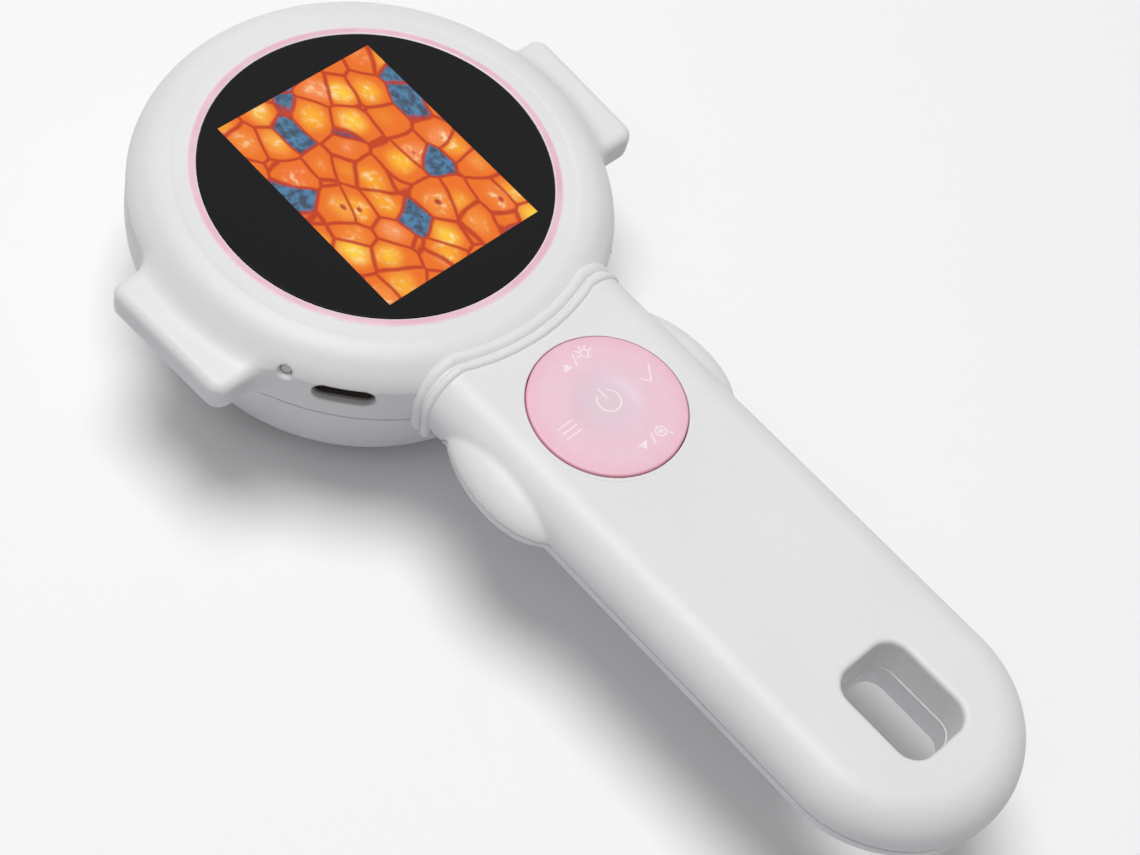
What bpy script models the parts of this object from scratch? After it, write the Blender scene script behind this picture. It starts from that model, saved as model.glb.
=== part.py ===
# A handheld digital microscope in the shape of a hand mirror.
# Metres, +Z out of the screen, +Y from the handle towards the head.
# The origin is at the middle of the footprint, under the light hood's rim.
# Shapes are worked out from the middle of the glass: x and y from the head's axis, and
# depths downwards from the glass. One empty at that point carries every piece.
import math

import bmesh
import bpy
from mathutils import Matrix, Vector

# Fits
FIT_GAP = 0.0003
SLIDE_GAP = 0.0003
SCREW_GAP = 0.0003
CUT_OVERRUN = 0.004
WELD_REACH = 0.0006

# Screen, from the lit picture outwards and downwards
PICTURE_HALF_WIDTH = 0.0153
PICTURE_HALF_LENGTH = 0.0204
GLASS_BORDER = 0.0024
GLASS_THICK = 0.0016
RING_WIDTH = 0.00125
RING_THICK = 0.0016
LEDGE_WIDTH = 0.0019
LEDGE_THICK = 0.0010
LCD_SIDE_BORDER = 0.00195
LCD_END_BORDER = 0.0016
LCD_THICK = 0.0010
BACKLIGHT_THICK = 0.0012
BACKLIGHT_MARGIN = 0.0004
FLEX_WIDTH = 0.0140
FLEX_THICK = 0.0002
FLEX_FOLD = 0.0013
FLEX_TAIL = 0.0060
FLEX_UNDERLAP = 0.0025
FLEX_BOARD_GAP = 0.0001

# Head
RIM_WIDTH = 0.00195
DOME_WIDTH = 0.0073
RIM_DROP = 0.0004
DOME_DEPTH = 0.0066
SPLIT_BELOW_BOARD = 0.0021
REAR_STEP = 0.0003
BOWL_TAPER = 0.0058
BOWL_FOOT_ROUND = 0.0030
HEAD_WALL = 0.0018
HEAD_FLOOR_WALL = 0.0020
SPLIT_GAP = 0.0003

# Keypad
KEYPAD_RADIUS = 0.01265
KEYPAD_SPACE = 0.00145
KEYPAD_DROP = 0.0014
KEYPAD_DISH = 0.0003
KEYPAD_EDGE = 0.0006
KEYPAD_FLANGE = 0.0008
KEYPAD_FLANGE_THICK = 0.0006
KEYPAD_SWING_GAP = 0.0002
KEYPAD_HUB = 0.0020
GUIDE_PLATE_INSET = 0.00115
GUIDE_PLATE_THICK = 0.0006
MAT_MARGIN = 0.00035
MAT_THICK = 0.0006
MAT_NUB_RADIUS = 0.0014
MAT_NUB_HEIGHT = 0.0004
KEY_TRAVEL = 0.00025
KEY_INSET = 0.00435
KEY_TILT_DEG = 1.7
SWITCH_HALF = 0.00225
SWITCH_HEIGHT = 0.0020
PLUNGER_RADIUS = 0.0013
PLUNGER_PROUD = 0.0004
PLUNGER_LENGTH = 0.0014
KEY_BOARD_SIDE_MARGIN = 0.00235
KEY_BOARD_END_MARGIN = 0.00165
KEY_BOARD_THICK = 0.0012
KEY_BOARD_CORNER = 0.0020
KEY_BOARD_GAP = 0.00042
POST_RADIUS = 0.0015
POST_INSET = 0.0023
RIBBON_WIDTH = 0.0070
RIBBON_THICK = 0.0002
RIBBON_SIDE_GAP = 0.0009
RIBBON_OVERLAP = 0.0030
RIBBON_RUN_IN = 0.0010

# Battery
BATTERY_SPACE = 0.0034
BATTERY_LENGTH = 0.0270
BATTERY_THICK = 0.0066
BATTERY_ROUND = 0.0012
LEAD_RADIUS = 0.0006
LEAD_SIDE_GAP = 0.0007
LEAD_LIFT = 0.0034
LEAD_SPACING = 0.0020
LEAD_INSET = 0.0030
LEAD_RUN_OUT = 0.0018
CONNECTOR_X = 0.0095
CONNECTOR_INSET = 0.0038
CONNECTOR_HALF_WIDTH = 0.0026
CONNECTOR_DEPTH = 0.0040
CONNECTOR_HEIGHT = 0.0026

# Handle
HANDLE_SIDE_ROOM = 0.0033
HANDLE_TOP_DROP = 0.0020
HANDLE_TOP_ROUND = 0.0062
HANDLE_SIDE_FLAT = 0.0001
HANDLE_SPLIT_DROP = 0.0080
HANDLE_WALL = 0.0017
HANDLE_FLOOR_WALL = 0.0014
HANDLE_ROOT_DEPTH = 0.0097
SPLIT_SLOPE_INSET = 0.0015
SPLIT_SLOPE_LENGTH = 0.0040
HOLE_SPACE = 0.0004
HOLE_LENGTH = 0.0158
HOLE_HALF_WIDTH = 0.0059
HOLE_CORNER = 0.0038
HOLE_LIP = 0.0007
HOLE_STEP = 0.0004
HOLE_WALL = 0.0018
END_SHIFT = 0.0002

# Ears, side bulges and neck collar
EAR_PROUD = 0.0057
EAR_ROOT_DEPTH = 0.0054
EAR_TAPER = 0.0010
EAR_FAR = 0.0092
EAR_NEAR = 0.0160
EAR_TOP_DROP = 0.0053
EAR_THICK = 0.0065
EAR_CORNER = 0.0030
EAR_ROUND = 0.0018
WING_PROUD = 0.0035
WING_HALF_DEPTH = 0.0062
WING_HALF_LENGTH = 0.0125
WING_HALF_THICK = 0.0047
WING_SHIFT = 0.0017
WING_DROP = 0.0084
COLLAR_INSET = 0.0034
COLLAR_PITCH = 0.0019
COLLAR_BEAD = 0.0011
COLLAR_SECOND_BEAD = 0.0008
COLLAR_PROUD = 0.0006
COLLAR_TURN_INSET = 0.0005
COLLAR_SWEEP_BACK = 0.0012

# Main board and what it carries
BOARD_THICK = 0.0012
BOARD_EDGE_GAP = 0.0016
STANDOFF_RADIUS = 0.0022
STANDOFF_INSET = 0.0069
CHIP_HALF = 0.0055
CHIP_THICK = 0.0012
CHIP_Y = 0.0100
USB_ANGLE_DEG = 222.7
USB_WIDTH = 0.0090
USB_HEIGHT = 0.0032
USB_DEPTH = 0.0073
USB_RECESS = 0.0010
USB_WALL = 0.0003
USB_TONGUE_WIDTH = 0.0067
USB_TONGUE_HEIGHT = 0.0007
USB_TONGUE_SHY = 0.0010
USB_BACK_WALL = 0.0010
RESET_ANGLE_DEG = 208.8
RESET_LIFT = 0.0039
RESET_HOLE_RADIUS = 0.0009
RESET_WIDTH = 0.0045
RESET_DEPTH = 0.0032
RESET_HEIGHT = 0.0045
RESET_TIP_RADIUS = 0.0007
RESET_TIP_LENGTH = 0.0026
RESET_TIP_SHY = 0.0028
RESET_SOCKET_DEPTH = 0.0016
RESET_TRAVEL = 0.00025
CARD_ANGLE_DEG = 317.3
CARD_WIDTH = 0.0110
CARD_LENGTH = 0.0150
CARD_THICK = 0.0008
CARD_SHY = 0.0004
CARD_SOCKET_WALL = 0.0009
CARD_SOCKET_SKIN = 0.00035
CARD_SOCKET_SHY = 0.0030
SENSOR_CORNER_GAP = 0.00096
SENSOR_THICK = 0.0010

# Optics
GUIDE_BORE = 0.0069
GUIDE_WALL = 0.0009
GUIDE_FLANGE_WIDTH = 0.0072
GUIDE_FLANGE_THICK = 0.0028
GUIDE_SCREW_INSET = 0.0024
BARREL_LENGTH = 0.0070
BARREL_WALL = 0.0013
BARREL_SHOULDER_WIDTH = 0.0011
BARREL_SHOULDER_THICK = 0.0008
BARREL_PIN_RADIUS = 0.0008
BARREL_PIN_BITE = 0.0009
LENS_TRAVEL = 0.0025
FIELD_LENS_EDGE = 0.0009
OBJECTIVE_LENS_EDGE = 0.0008
LENS_CROWN = 0.0005
RETAINER_THICK = 0.0006
SLEEVE_TOP_GAP = 0.0004
SLEEVE_LIP = 0.0008
SLEEVE_WALL = 0.0013
WEB_CLEARANCE = 0.0012
WEB_THICK = 0.0018
FOCUS_BORDER = 0.0109
FOCUS_WALL = 0.0044
FOCUS_FLANGE = 0.0020
FOCUS_FLANGE_THICK = 0.0040
FOCUS_FLUTE_DEPTH = 0.0006
FOCUS_PROUD = 0.0029
FOCUS_EDGE = 0.0006
FOCUS_TURN_DEG = 75.0
OPENING_GAP = 0.0004
HOOD_WALL = 0.0014
HOOD_GAP = 0.0004
HOOD_WEB_THICK = 0.0012
HOOD_PROUD = 0.0016
HOOD_COLLAR_GAP = 0.0006
HOOD_COLLAR_WALL = 0.0010
LED_BOARD_BORE = 0.0080
LED_BOARD_THICK = 0.0010
LED_EDGE_SPACE = 0.0022
LED_SIZE = 0.0030
LED_THICK = 0.0008
DIFFUSER_THICK = 0.0010
DIFFUSER_SPACE = 0.0007
DIFFUSER_BORE = 0.0056

# Screws
SCREW_SHANK_RADIUS = 0.0009
SCREW_HEAD_RADIUS = 0.0018
SCREW_HEAD_HEIGHT = 0.0013
BOSS_RADIUS = 0.0029
BOSS_FLANGE_GAP = 0.0013
BOSS_SEAT_DEPTH = 0.0053
BOSS_BLIND_SKIN = 0.0031
HANDLE_BOSS_RADIUS = 0.0026
HANDLE_SCREW_SINK = 0.0012
HANDLE_BLIND_SKIN = 0.0013
TIP_SCREW_SPACE = 0.0017
MIDDLE_SCREW_SPACE = 0.0015
GUIDE_SHANK_RADIUS = 0.0008
GUIDE_HEAD_RADIUS = 0.0016
GUIDE_HEAD_HEIGHT = 0.0011
GUIDE_BITE = 0.0020

# How finely round things are faceted
HEAD_SEGMENTS = 56
ROUND_SEGMENTS = 32
SMALL_SEGMENTS = 16
FLUTE_COUNT = 18
SMOOTH_ANGLE_DEG = 35.0

# The display sets the glass, the ring round it and the head
picture_corner = math.hypot(PICTURE_HALF_WIDTH, PICTURE_HALF_LENGTH)
glass_radius = picture_corner + GLASS_BORDER
ring_radius = glass_radius + FIT_GAP + RING_WIDTH
ledge_radius = glass_radius - LEDGE_WIDTH
rim_radius = ring_radius + RIM_WIDTH
head_radius = rim_radius + DOME_WIDTH
head_room = head_radius - HEAD_WALL
bowl_foot_radius = head_radius - BOWL_TAPER
lcd_half_width = PICTURE_HALF_WIDTH + LCD_SIDE_BORDER
lcd_half_length = PICTURE_HALF_LENGTH + LCD_END_BORDER
ledge_top = max(GLASS_THICK, RING_THICK) + FIT_GAP
ledge_bottom = ledge_top + LEDGE_THICK
lcd_top = ledge_bottom + FIT_GAP
lcd_bottom = lcd_top + LCD_THICK
backlight_top = lcd_bottom + FIT_GAP
backlight_bottom = backlight_top + BACKLIGHT_THICK

# The main board hangs under the display's folded ribbon
board_drop = backlight_bottom + FIT_GAP + 2 * FLEX_FOLD + FLEX_THICK + FLEX_BOARD_GAP
board_bottom = board_drop + BOARD_THICK
board_radius = head_room - BOARD_EDGE_GAP
standoff_pitch_radius = head_room - STANDOFF_INSET
reset_drop = board_drop - RESET_LIFT
shoulder_drop = RIM_DROP + DOME_DEPTH
split_drop = board_bottom + SPLIT_BELOW_BOARD

# The optics hang from the main board and set how deep the head is
guide_top = board_bottom + FIT_GAP
guide_flange_bottom = guide_top + GUIDE_FLANGE_THICK
guide_flange_radius = GUIDE_BORE + GUIDE_WALL + GUIDE_FLANGE_WIDTH
guide_screw_radius = guide_flange_radius - GUIDE_SCREW_INSET
sensor_half = (GUIDE_BORE - SENSOR_CORNER_GAP) / math.sqrt(2)
barrel_radius = GUIDE_BORE - SLIDE_GAP
barrel_bore = barrel_radius - BARREL_WALL
barrel_shoulder_radius = barrel_bore - BARREL_SHOULDER_WIDTH
sleeve_bore = GUIDE_BORE + GUIDE_WALL + SLIDE_GAP
barrel_pin_reach = sleeve_bore + BARREL_PIN_BITE
sleeve_top = guide_flange_bottom + SLEEVE_TOP_GAP
slot_reach = LENS_TRAVEL + BARREL_PIN_RADIUS + SLIDE_GAP
barrel_middle = sleeve_top + SLEEVE_LIP + slot_reach
barrel_lowest = barrel_middle + BARREL_LENGTH / 2 + LENS_TRAVEL
web_top = barrel_lowest + WEB_CLEARANCE
web_bottom = web_top + WEB_THICK
flange_foot = web_top + FOCUS_FLANGE_THICK
head_floor = flange_foot + FIT_GAP
head_depth = head_floor + HEAD_FLOOR_WALL
focus_radius = bowl_foot_radius - FOCUS_BORDER
focus_bore = focus_radius - FOCUS_WALL
focus_bottom = head_depth + FOCUS_PROUD
opening_radius = focus_radius + OPENING_GAP
hood_radius = focus_bore - HOOD_GAP
hood_inner = hood_radius - HOOD_WALL
hood_room = hood_inner - FIT_GAP
hood_collar_top = barrel_lowest + HOOD_COLLAR_GAP
hood_web_top = web_bottom + FIT_GAP
hood_web_bottom = hood_web_top + HOOD_WEB_THICK
hood_bottom = focus_bottom + HOOD_PROUD
led_board_top = hood_web_bottom + FIT_GAP
led_board_bottom = led_board_top + LED_BOARD_THICK
led_pitch_radius = hood_room - LED_SIZE / 2 - LED_EDGE_SPACE
led_top = led_board_bottom + FIT_GAP
led_bottom = led_top + LED_THICK
diffuser_top = led_bottom + DIFFUSER_SPACE
diffuser_bottom = diffuser_top + DIFFUSER_THICK
boss_pitch_radius = focus_radius + FOCUS_FLANGE + BOSS_FLANGE_GAP + BOSS_RADIUS
boss_seat_drop = split_drop + BOSS_SEAT_DEPTH
boss_blind_drop = ledge_bottom + BOSS_BLIND_SKIN

# The keypad's stack, from the handle's ceiling down to its board. The hubs hold the cap
# and the plate far enough apart for their rims to tilt.
keypad_reach = head_radius + KEYPAD_SPACE + KEYPAD_RADIUS
key_pitch = KEYPAD_RADIUS - KEY_INSET
key_board_half_width = KEYPAD_RADIUS + KEY_BOARD_SIDE_MARGIN
key_board_half_length = KEYPAD_RADIUS + KEY_BOARD_END_MARGIN
guide_plate_radius = KEYPAD_RADIUS - GUIDE_PLATE_INSET
mat_radius = KEYPAD_RADIUS + MAT_MARGIN
handle_ceiling = HANDLE_TOP_DROP + HANDLE_WALL
key_slope = math.tan(math.radians(KEY_TILT_DEG))
flange_radius = KEYPAD_RADIUS + KEYPAD_FLANGE
hub_height = guide_plate_radius * key_slope + KEYPAD_SWING_GAP - FIT_GAP
flange_top = handle_ceiling + flange_radius * key_slope + KEYPAD_SWING_GAP
flange_bottom = flange_top + KEYPAD_FLANGE_THICK
plate_top = flange_bottom + hub_height + FIT_GAP
plate_bottom = plate_top + GUIDE_PLATE_THICK
mat_top = plate_bottom + hub_height + FIT_GAP
mat_bottom = mat_top + MAT_THICK
plunger_top = mat_bottom + MAT_NUB_HEIGHT + FIT_GAP
switch_top = plunger_top + PLUNGER_PROUD
switch_bottom = switch_top + SWITCH_HEIGHT
key_board_top = switch_bottom + FIT_GAP
key_board_bottom = key_board_top + KEY_BOARD_THICK
ribbon_x = (key_board_half_width - POST_INSET - POST_RADIUS - RIBBON_SIDE_GAP
            - RIBBON_WIDTH / 2)

# The keypad and the battery set the handle's width and depth, and what lies along it sets
# its length
handle_half_width = key_board_half_width + HANDLE_SIDE_ROOM + HANDLE_WALL
handle_floor = key_board_bottom + KEY_BOARD_GAP
handle_bottom = handle_floor + HANDLE_FLOOR_WALL
handle_bottom_round = handle_bottom - HANDLE_TOP_DROP - HANDLE_TOP_ROUND - HANDLE_SIDE_FLAT
handle_seat_drop = handle_bottom - HANDLE_SCREW_SINK - SCREW_HEAD_HEIGHT - SCREW_GAP
handle_blind_drop = handle_ceiling + HANDLE_BLIND_SKIN
battery_near = keypad_reach + key_board_half_length + BATTERY_SPACE
battery_half_width = handle_half_width - HANDLE_WALL - HANDLE_SIDE_ROOM
lead_side_x = key_board_half_width + LEAD_RADIUS + LEAD_SIDE_GAP
lead_drop = handle_floor - LEAD_LIFT
connector_near = board_radius - CONNECTOR_INSET
middle_screw_reach = battery_near + BATTERY_LENGTH + MIDDLE_SCREW_SPACE + HANDLE_BOSS_RADIUS
hole_near = middle_screw_reach + HANDLE_BOSS_RADIUS + HOLE_SPACE + HOLE_WALL
tip_screw_reach = (hole_near + HOLE_LENGTH + HOLE_WALL + HANDLE_BOSS_RADIUS
                   + TIP_SCREW_SPACE)
handle_reach = hole_near + HOLE_LENGTH / 2 + END_SHIFT
handle_root = head_radius - HANDLE_ROOT_DEPTH
split_slope_start = head_radius - SPLIT_SLOPE_INSET
ear_reach = head_radius + EAR_PROUD
collar_radius = head_radius - COLLAR_INSET
collar_turn_half_width = handle_half_width - HANDLE_TOP_ROUND - COLLAR_TURN_INSET
wing_reach = handle_half_width + WING_PROUD
wing_y = keypad_reach - WING_SHIFT

# Where the frame's origin lies
tip_reach = handle_reach + handle_half_width
head_y = (tip_reach - head_radius) / 2
glass_z = hood_bottom


# Materials

def finish(name, color, roughness, metallic=0.0, alpha=1.0):
    material = bpy.data.materials.new(name)
    material.use_nodes = True
    shader = material.node_tree.nodes["Principled BSDF"]
    shader.inputs["Base Color"].default_value = (*color, 1.0)
    shader.inputs["Roughness"].default_value = roughness
    shader.inputs["Metallic"].default_value = metallic
    shader.inputs["Alpha"].default_value = alpha
    material.diffuse_color = (*color, 1.0)
    return material


def make_finishes():
    return {
        "shell": finish("shell", (0.78, 0.78, 0.80), 0.38),
        "pink": finish("pink", (0.83, 0.56, 0.66), 0.35),
        "black_glass": finish("black_glass", (0.015, 0.015, 0.018), 0.08),
        "clear": finish("clear", (0.85, 0.88, 0.90), 0.05),
        "rubber": finish("rubber", (0.70, 0.70, 0.72), 0.70),
        "board": finish("board", (0.02, 0.20, 0.09), 0.45),
        "chip": finish("chip", (0.03, 0.03, 0.03), 0.50),
        "steel": finish("steel", (0.55, 0.55, 0.56), 0.30, 1.0),
        "foil": finish("foil", (0.60, 0.62, 0.64), 0.35, 0.8),
        "flex": finish("flex", (0.55, 0.28, 0.06), 0.40),
        "lead_red": finish("lead_red", (0.60, 0.03, 0.03), 0.45),
        "lead_black": finish("lead_black", (0.02, 0.02, 0.02), 0.45),
        "lamp": finish("lamp", (0.90, 0.88, 0.70), 0.30),
    }


# Mesh helpers

def object_from(name, bm):
    bmesh.ops.recalc_face_normals(bm, faces=bm.faces)
    mesh = bpy.data.meshes.new(name)
    bm.to_mesh(mesh)
    bm.free()
    made = bpy.data.objects.new(name, mesh)
    bpy.context.scene.collection.objects.link(made)
    return made


def turned(name, profile, segments=ROUND_SEGMENTS, ripple=None):
    # A closed profile of (radius, depth) turned round the Z axis. A ripple changes the
    # radius of a profile point with the angle.
    bm = bmesh.new()
    rings = []
    for index, (radius, depth) in enumerate(profile):
        if radius == 0:
            rings.append([bm.verts.new((0, 0, -depth))])
            continue
        ring = []
        for step in range(segments):
            angle = 2 * math.pi * step / segments
            reach = ripple(index, radius, step) if ripple else radius
            ring.append(bm.verts.new((reach * math.cos(angle), reach * math.sin(angle), -depth)))
        rings.append(ring)
    for index, ring in enumerate(rings):
        after = rings[(index + 1) % len(rings)]
        if len(ring) == 1 and len(after) == 1:
            continue
        for step in range(segments):
            turn = (step + 1) % segments
            if len(ring) == 1:
                bm.faces.new((ring[0], after[turn], after[step]))
            elif len(after) == 1:
                bm.faces.new((ring[step], ring[turn], after[0]))
            else:
                bm.faces.new((ring[step], ring[turn], after[turn], after[step]))
    return object_from(name, bm)


def stacked(name, loops):
    # Loops of as many points each, bridged in turn and capped at both ends.
    bm = bmesh.new()
    rings = [[bm.verts.new(point) for point in loop] for loop in loops]
    for lower, upper in zip(rings, rings[1:]):
        for step in range(len(lower)):
            turn = (step + 1) % len(lower)
            bm.faces.new((lower[step], lower[turn], upper[turn], upper[step]))
    bm.faces.new(rings[0])
    bm.faces.new(rings[-1])
    return object_from(name, bm)


def prism(name, outline, top, bottom):
    # An outline in x and y between two depths.
    return stacked(name, [[(x, y, -depth) for x, y in outline] for depth in (top, bottom)])


def circle(radius, x=0.0, y=0.0, segments=SMALL_SEGMENTS, shift=0.0):
    # The first corner is on +X, or a share of a facet past it.
    angles = [2 * math.pi * (step + shift) / segments for step in range(segments)]
    return [(x + radius * math.cos(angle), y + radius * math.sin(angle)) for angle in angles]


def rounded_rectangle(half_width, half_length, corner, x=0.0, y=0.0, steps=4):
    points = []
    for quarter in range(4):
        side_x = 1 if quarter in (0, 3) else -1
        side_y = 1 if quarter in (0, 1) else -1
        for step in range(steps + 1):
            angle = (quarter + step / steps) * math.pi / 2
            points.append((x + side_x * (half_width - corner) + corner * math.cos(angle),
                           y + side_y * (half_length - corner) + corner * math.sin(angle)))
    return points


def disc(name, radius, top, bottom, x=0.0, y=0.0, segments=SMALL_SEGMENTS, shift=0.0):
    return prism(name, circle(radius, x, y, segments, shift), top, bottom)


def block(name, low, high):
    # Corners are (x, y, depth), the first with the lesser depth.
    outline = [(low[0], low[1]), (high[0], low[1]), (high[0], high[1]), (low[0], high[1])]
    return prism(name, outline, low[2], high[2])


def soften(made, width, segments=2, angle_deg=30.0):
    bevel = made.modifiers.new("soft_edges", "BEVEL")
    bevel.width = width
    bevel.segments = segments
    bevel.limit_method = "ANGLE"
    bevel.angle_limit = math.radians(angle_deg)
    return made


def bake(made):
    # Puts the object's modifiers into its mesh.
    bpy.context.view_layer.update()
    seen = made.evaluated_get(bpy.context.evaluated_depsgraph_get())
    mesh = bpy.data.meshes.new_from_object(seen)
    made.modifiers.clear()
    made.data = mesh
    return made


def combine(made, tools, operation):
    for tool in tools:
        step = made.modifiers.new(tool.name, "BOOLEAN")
        step.operation = operation
        step.object = tool
        tool.hide_render = True
        tool.display_type = "WIRE"
    bake(made)
    for tool in tools:
        bpy.data.objects.remove(tool)
    return made


def moved(made, x=0.0, y=0.0, z=0.0):
    made.data.transform(Matrix.Translation((x, y, z)))
    return made


def turned_about_z(made, angle):
    made.data.transform(Matrix.Rotation(angle, 4, "Z"))
    return made


def place(made, material, datum, origin=(0.0, 0.0, 0.0), angle=0.0):
    # Gives a finished piece its material and its own origin, and hangs it on the datum.
    made.data.transform(Matrix.Translation(-Vector(origin)))
    made.data.materials.clear()
    made.data.materials.append(material)
    made.data.shade_smooth()
    made.data.set_sharp_from_angle(angle=math.radians(SMOOTH_ANGLE_DEG))
    turn = Matrix.Rotation(angle, 4, "Z")
    made.location = turn @ Vector(origin)
    made.rotation_euler = (0.0, 0.0, angle)
    made.parent = datum
    return made


# Casing shapes

def quarter_arc(center, reach, steps, start_deg, end_deg):
    points = []
    for step in range(steps + 1):
        angle = math.radians(start_deg + (end_deg - start_deg) * step / steps)
        points.append((center[0] + reach[0] * math.cos(angle),
                       center[1] - reach[1] * math.sin(angle)))
    return points


def head_body(name):
    dome = quarter_arc((rim_radius, shoulder_drop),
                       (head_radius - rim_radius, shoulder_drop - RIM_DROP), 6, 90, 0)
    foot = quarter_arc((bowl_foot_radius - BOWL_FOOT_ROUND, head_depth - BOWL_FOOT_ROUND),
                       (BOWL_FOOT_ROUND, BOWL_FOOT_ROUND), 3, 0, -90)
    rear_radius = head_radius - REAR_STEP
    profile = [(0, RIM_DROP), *dome, (head_radius, split_drop), (rear_radius, split_drop),
               *foot, (0, head_depth)]
    return turned(name, profile, HEAD_SEGMENTS)


def head_cavity(name):
    dome = quarter_arc((rim_radius, shoulder_drop),
                       (head_radius - rim_radius - HEAD_WALL, shoulder_drop - ledge_bottom),
                       3, 90, 0)
    inner = head_radius - HEAD_WALL
    foot_inner = bowl_foot_radius - HEAD_WALL
    corner = BOWL_FOOT_ROUND / 2
    profile = [(0, ledge_bottom), *dome, (inner, split_drop), (inner - REAR_STEP, split_drop),
               (foot_inner, head_floor - corner), (foot_inner - corner, head_floor),
               (0, head_floor)]
    return turned(name, profile, HEAD_SEGMENTS)


def handle_outline(inset, depth):
    # A straight root inside the head, two straight sides and a round end.
    half = handle_half_width - inset
    points = [(-half, -handle_root, -depth), (half, -handle_root, -depth)]
    steps = 16
    for step in range(steps + 1):
        angle = math.pi * step / steps
        points.append((half * math.cos(angle), -handle_reach - half * math.sin(angle), -depth))
    return points


def round_levels(top, bottom, top_round, bottom_round, steps):
    # Pairs of inset and depth down a side with rounded edges.
    levels = []
    for step in range(steps + 1):
        angle = math.pi / 2 * step / steps
        levels.append((top_round * (1 - math.sin(angle)), top + top_round * (1 - math.cos(angle))))
    for step in range(steps + 1):
        angle = math.pi / 2 * step / steps
        levels.append((bottom_round * (1 - math.cos(angle)),
                       bottom - bottom_round * (1 - math.sin(angle))))
    return levels


def handle_body(name):
    levels = round_levels(HANDLE_TOP_DROP, handle_bottom, HANDLE_TOP_ROUND,
                          handle_bottom_round, 4)
    return stacked(name, [handle_outline(inset, depth) for inset, depth in levels])


def hole_outline(growth, depth):
    middle = -hole_near - HOLE_LENGTH / 2
    outline = rounded_rectangle(HOLE_HALF_WIDTH + growth, HOLE_LENGTH / 2 + growth,
                                HOLE_CORNER + growth, 0.0, middle)
    return [(x, y, -depth) for x, y in outline]


def hanging_hole(name):
    # Straight through with a rounded lip at both faces, and a little narrower below the
    # parting line.
    levels = [(HOLE_LIP, HANDLE_TOP_DROP - CUT_OVERRUN)]
    for step in range(3):
        angle = math.pi / 2 * step / 2
        levels.append((HOLE_LIP * (1 - math.sin(angle)),
                       HANDLE_TOP_DROP + HOLE_LIP * (1 - math.cos(angle))))
    levels.append((0.0, HANDLE_SPLIT_DROP))
    levels.append((-HOLE_STEP, HANDLE_SPLIT_DROP))
    for step in range(3):
        angle = math.pi / 2 * step / 2
        levels.append((HOLE_LIP * (1 - math.cos(angle)) - HOLE_STEP,
                       handle_bottom - HOLE_LIP * (1 - math.sin(angle))))
    levels.append((HOLE_LIP - HOLE_STEP, handle_bottom + CUT_OVERRUN))
    return stacked(name, [hole_outline(growth, depth) for growth, depth in levels])


def handle_cavity(name):
    levels = round_levels(handle_ceiling, handle_floor, HANDLE_TOP_ROUND - HANDLE_WALL,
                          handle_bottom_round - HANDLE_WALL, 2)
    loops = [handle_outline(HANDLE_WALL + inset, depth) for inset, depth in levels]
    cavity = stacked(name, loops)
    wall = stacked(name + "_hole_wall", [hole_outline(HOLE_WALL, HANDLE_TOP_DROP),
                                         hole_outline(HOLE_WALL, handle_bottom)])
    return combine(cavity, [wall], "DIFFERENCE")


def ear(name, side):
    inner = head_radius - EAR_ROOT_DEPTH
    middle = (EAR_FAR - EAR_NEAR) / 2
    half_length = (EAR_FAR + EAR_NEAR) / 2
    half_width = (ear_reach - inner) / 2
    loops = []
    for inset, depth in round_levels(EAR_TOP_DROP, EAR_TOP_DROP + EAR_THICK, EAR_ROUND,
                                     EAR_ROUND, 2):
        outline = rounded_rectangle(half_width - inset, half_length - inset,
                                    EAR_CORNER - inset, side * (inner + half_width), middle, 3)
        loops.append([(x - side * EAR_TAPER * (EAR_FAR - y) / (EAR_FAR + EAR_NEAR), y, -depth)
                      for x, y in outline])
    return stacked(name, loops)


def wing(name, side):
    bm = bmesh.new()
    bmesh.ops.create_uvsphere(bm, u_segments=16, v_segments=10, radius=1.0)
    reach = (WING_HALF_DEPTH, WING_HALF_LENGTH, WING_HALF_THICK)
    bmesh.ops.scale(bm, vec=reach, verts=bm.verts)
    middle = (side * (wing_reach - WING_HALF_DEPTH), -wing_y, -WING_DROP)
    bmesh.ops.translate(bm, vec=middle, verts=bm.verts)
    return object_from(name, bm)


def collar_path(radius, bead):
    # Over the neck from side to side: an arc round the head's axis on top, then down
    # the rounded sides to the handle's underside, swept back a little.
    sink = bead - COLLAR_PROUD
    half = handle_half_width - sink
    corner = HANDLE_TOP_ROUND
    top = HANDLE_TOP_DROP + sink
    section = []
    flat_steps = 5
    for step in range(flat_steps + 1):
        section.append(((half - corner) * step / flat_steps, top))
    for step in range(1, 4):
        angle = math.pi / 2 * step / 3
        section.append((half - corner + corner * math.sin(angle),
                        top + corner * (1 - math.cos(angle))))
    section.append((half - COLLAR_PROUD, split_drop - COLLAR_PROUD))
    turn_y = math.sqrt(radius ** 2 - collar_turn_half_width ** 2)
    points = []
    for x, depth in section:
        if x < collar_turn_half_width:
            y = math.sqrt(radius ** 2 - x ** 2)
        else:
            y = turn_y + COLLAR_SWEEP_BACK * (depth - top) / (split_drop - top)
        points.append(Vector((x, -y, -depth)))
    mirrored = [Vector((-point.x, point.y, point.z)) for point in points[:0:-1]]
    return mirrored + points


def bead_tube(name, path, radius):
    sides = 8
    loops = []
    for index, point in enumerate(path):
        before = path[max(index - 1, 0)]
        after = path[min(index + 1, len(path) - 1)]
        along = (after - before).normalized()
        across = along.cross(Vector((0.0, 1.0, 0.0))).normalized()
        up = across.cross(along)
        loop = []
        for step in range(sides):
            angle = 2 * math.pi * step / sides
            loop.append(point + radius * (math.cos(angle) * across + math.sin(angle) * up))
        loops.append(loop)
    return stacked(name, loops)


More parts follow.
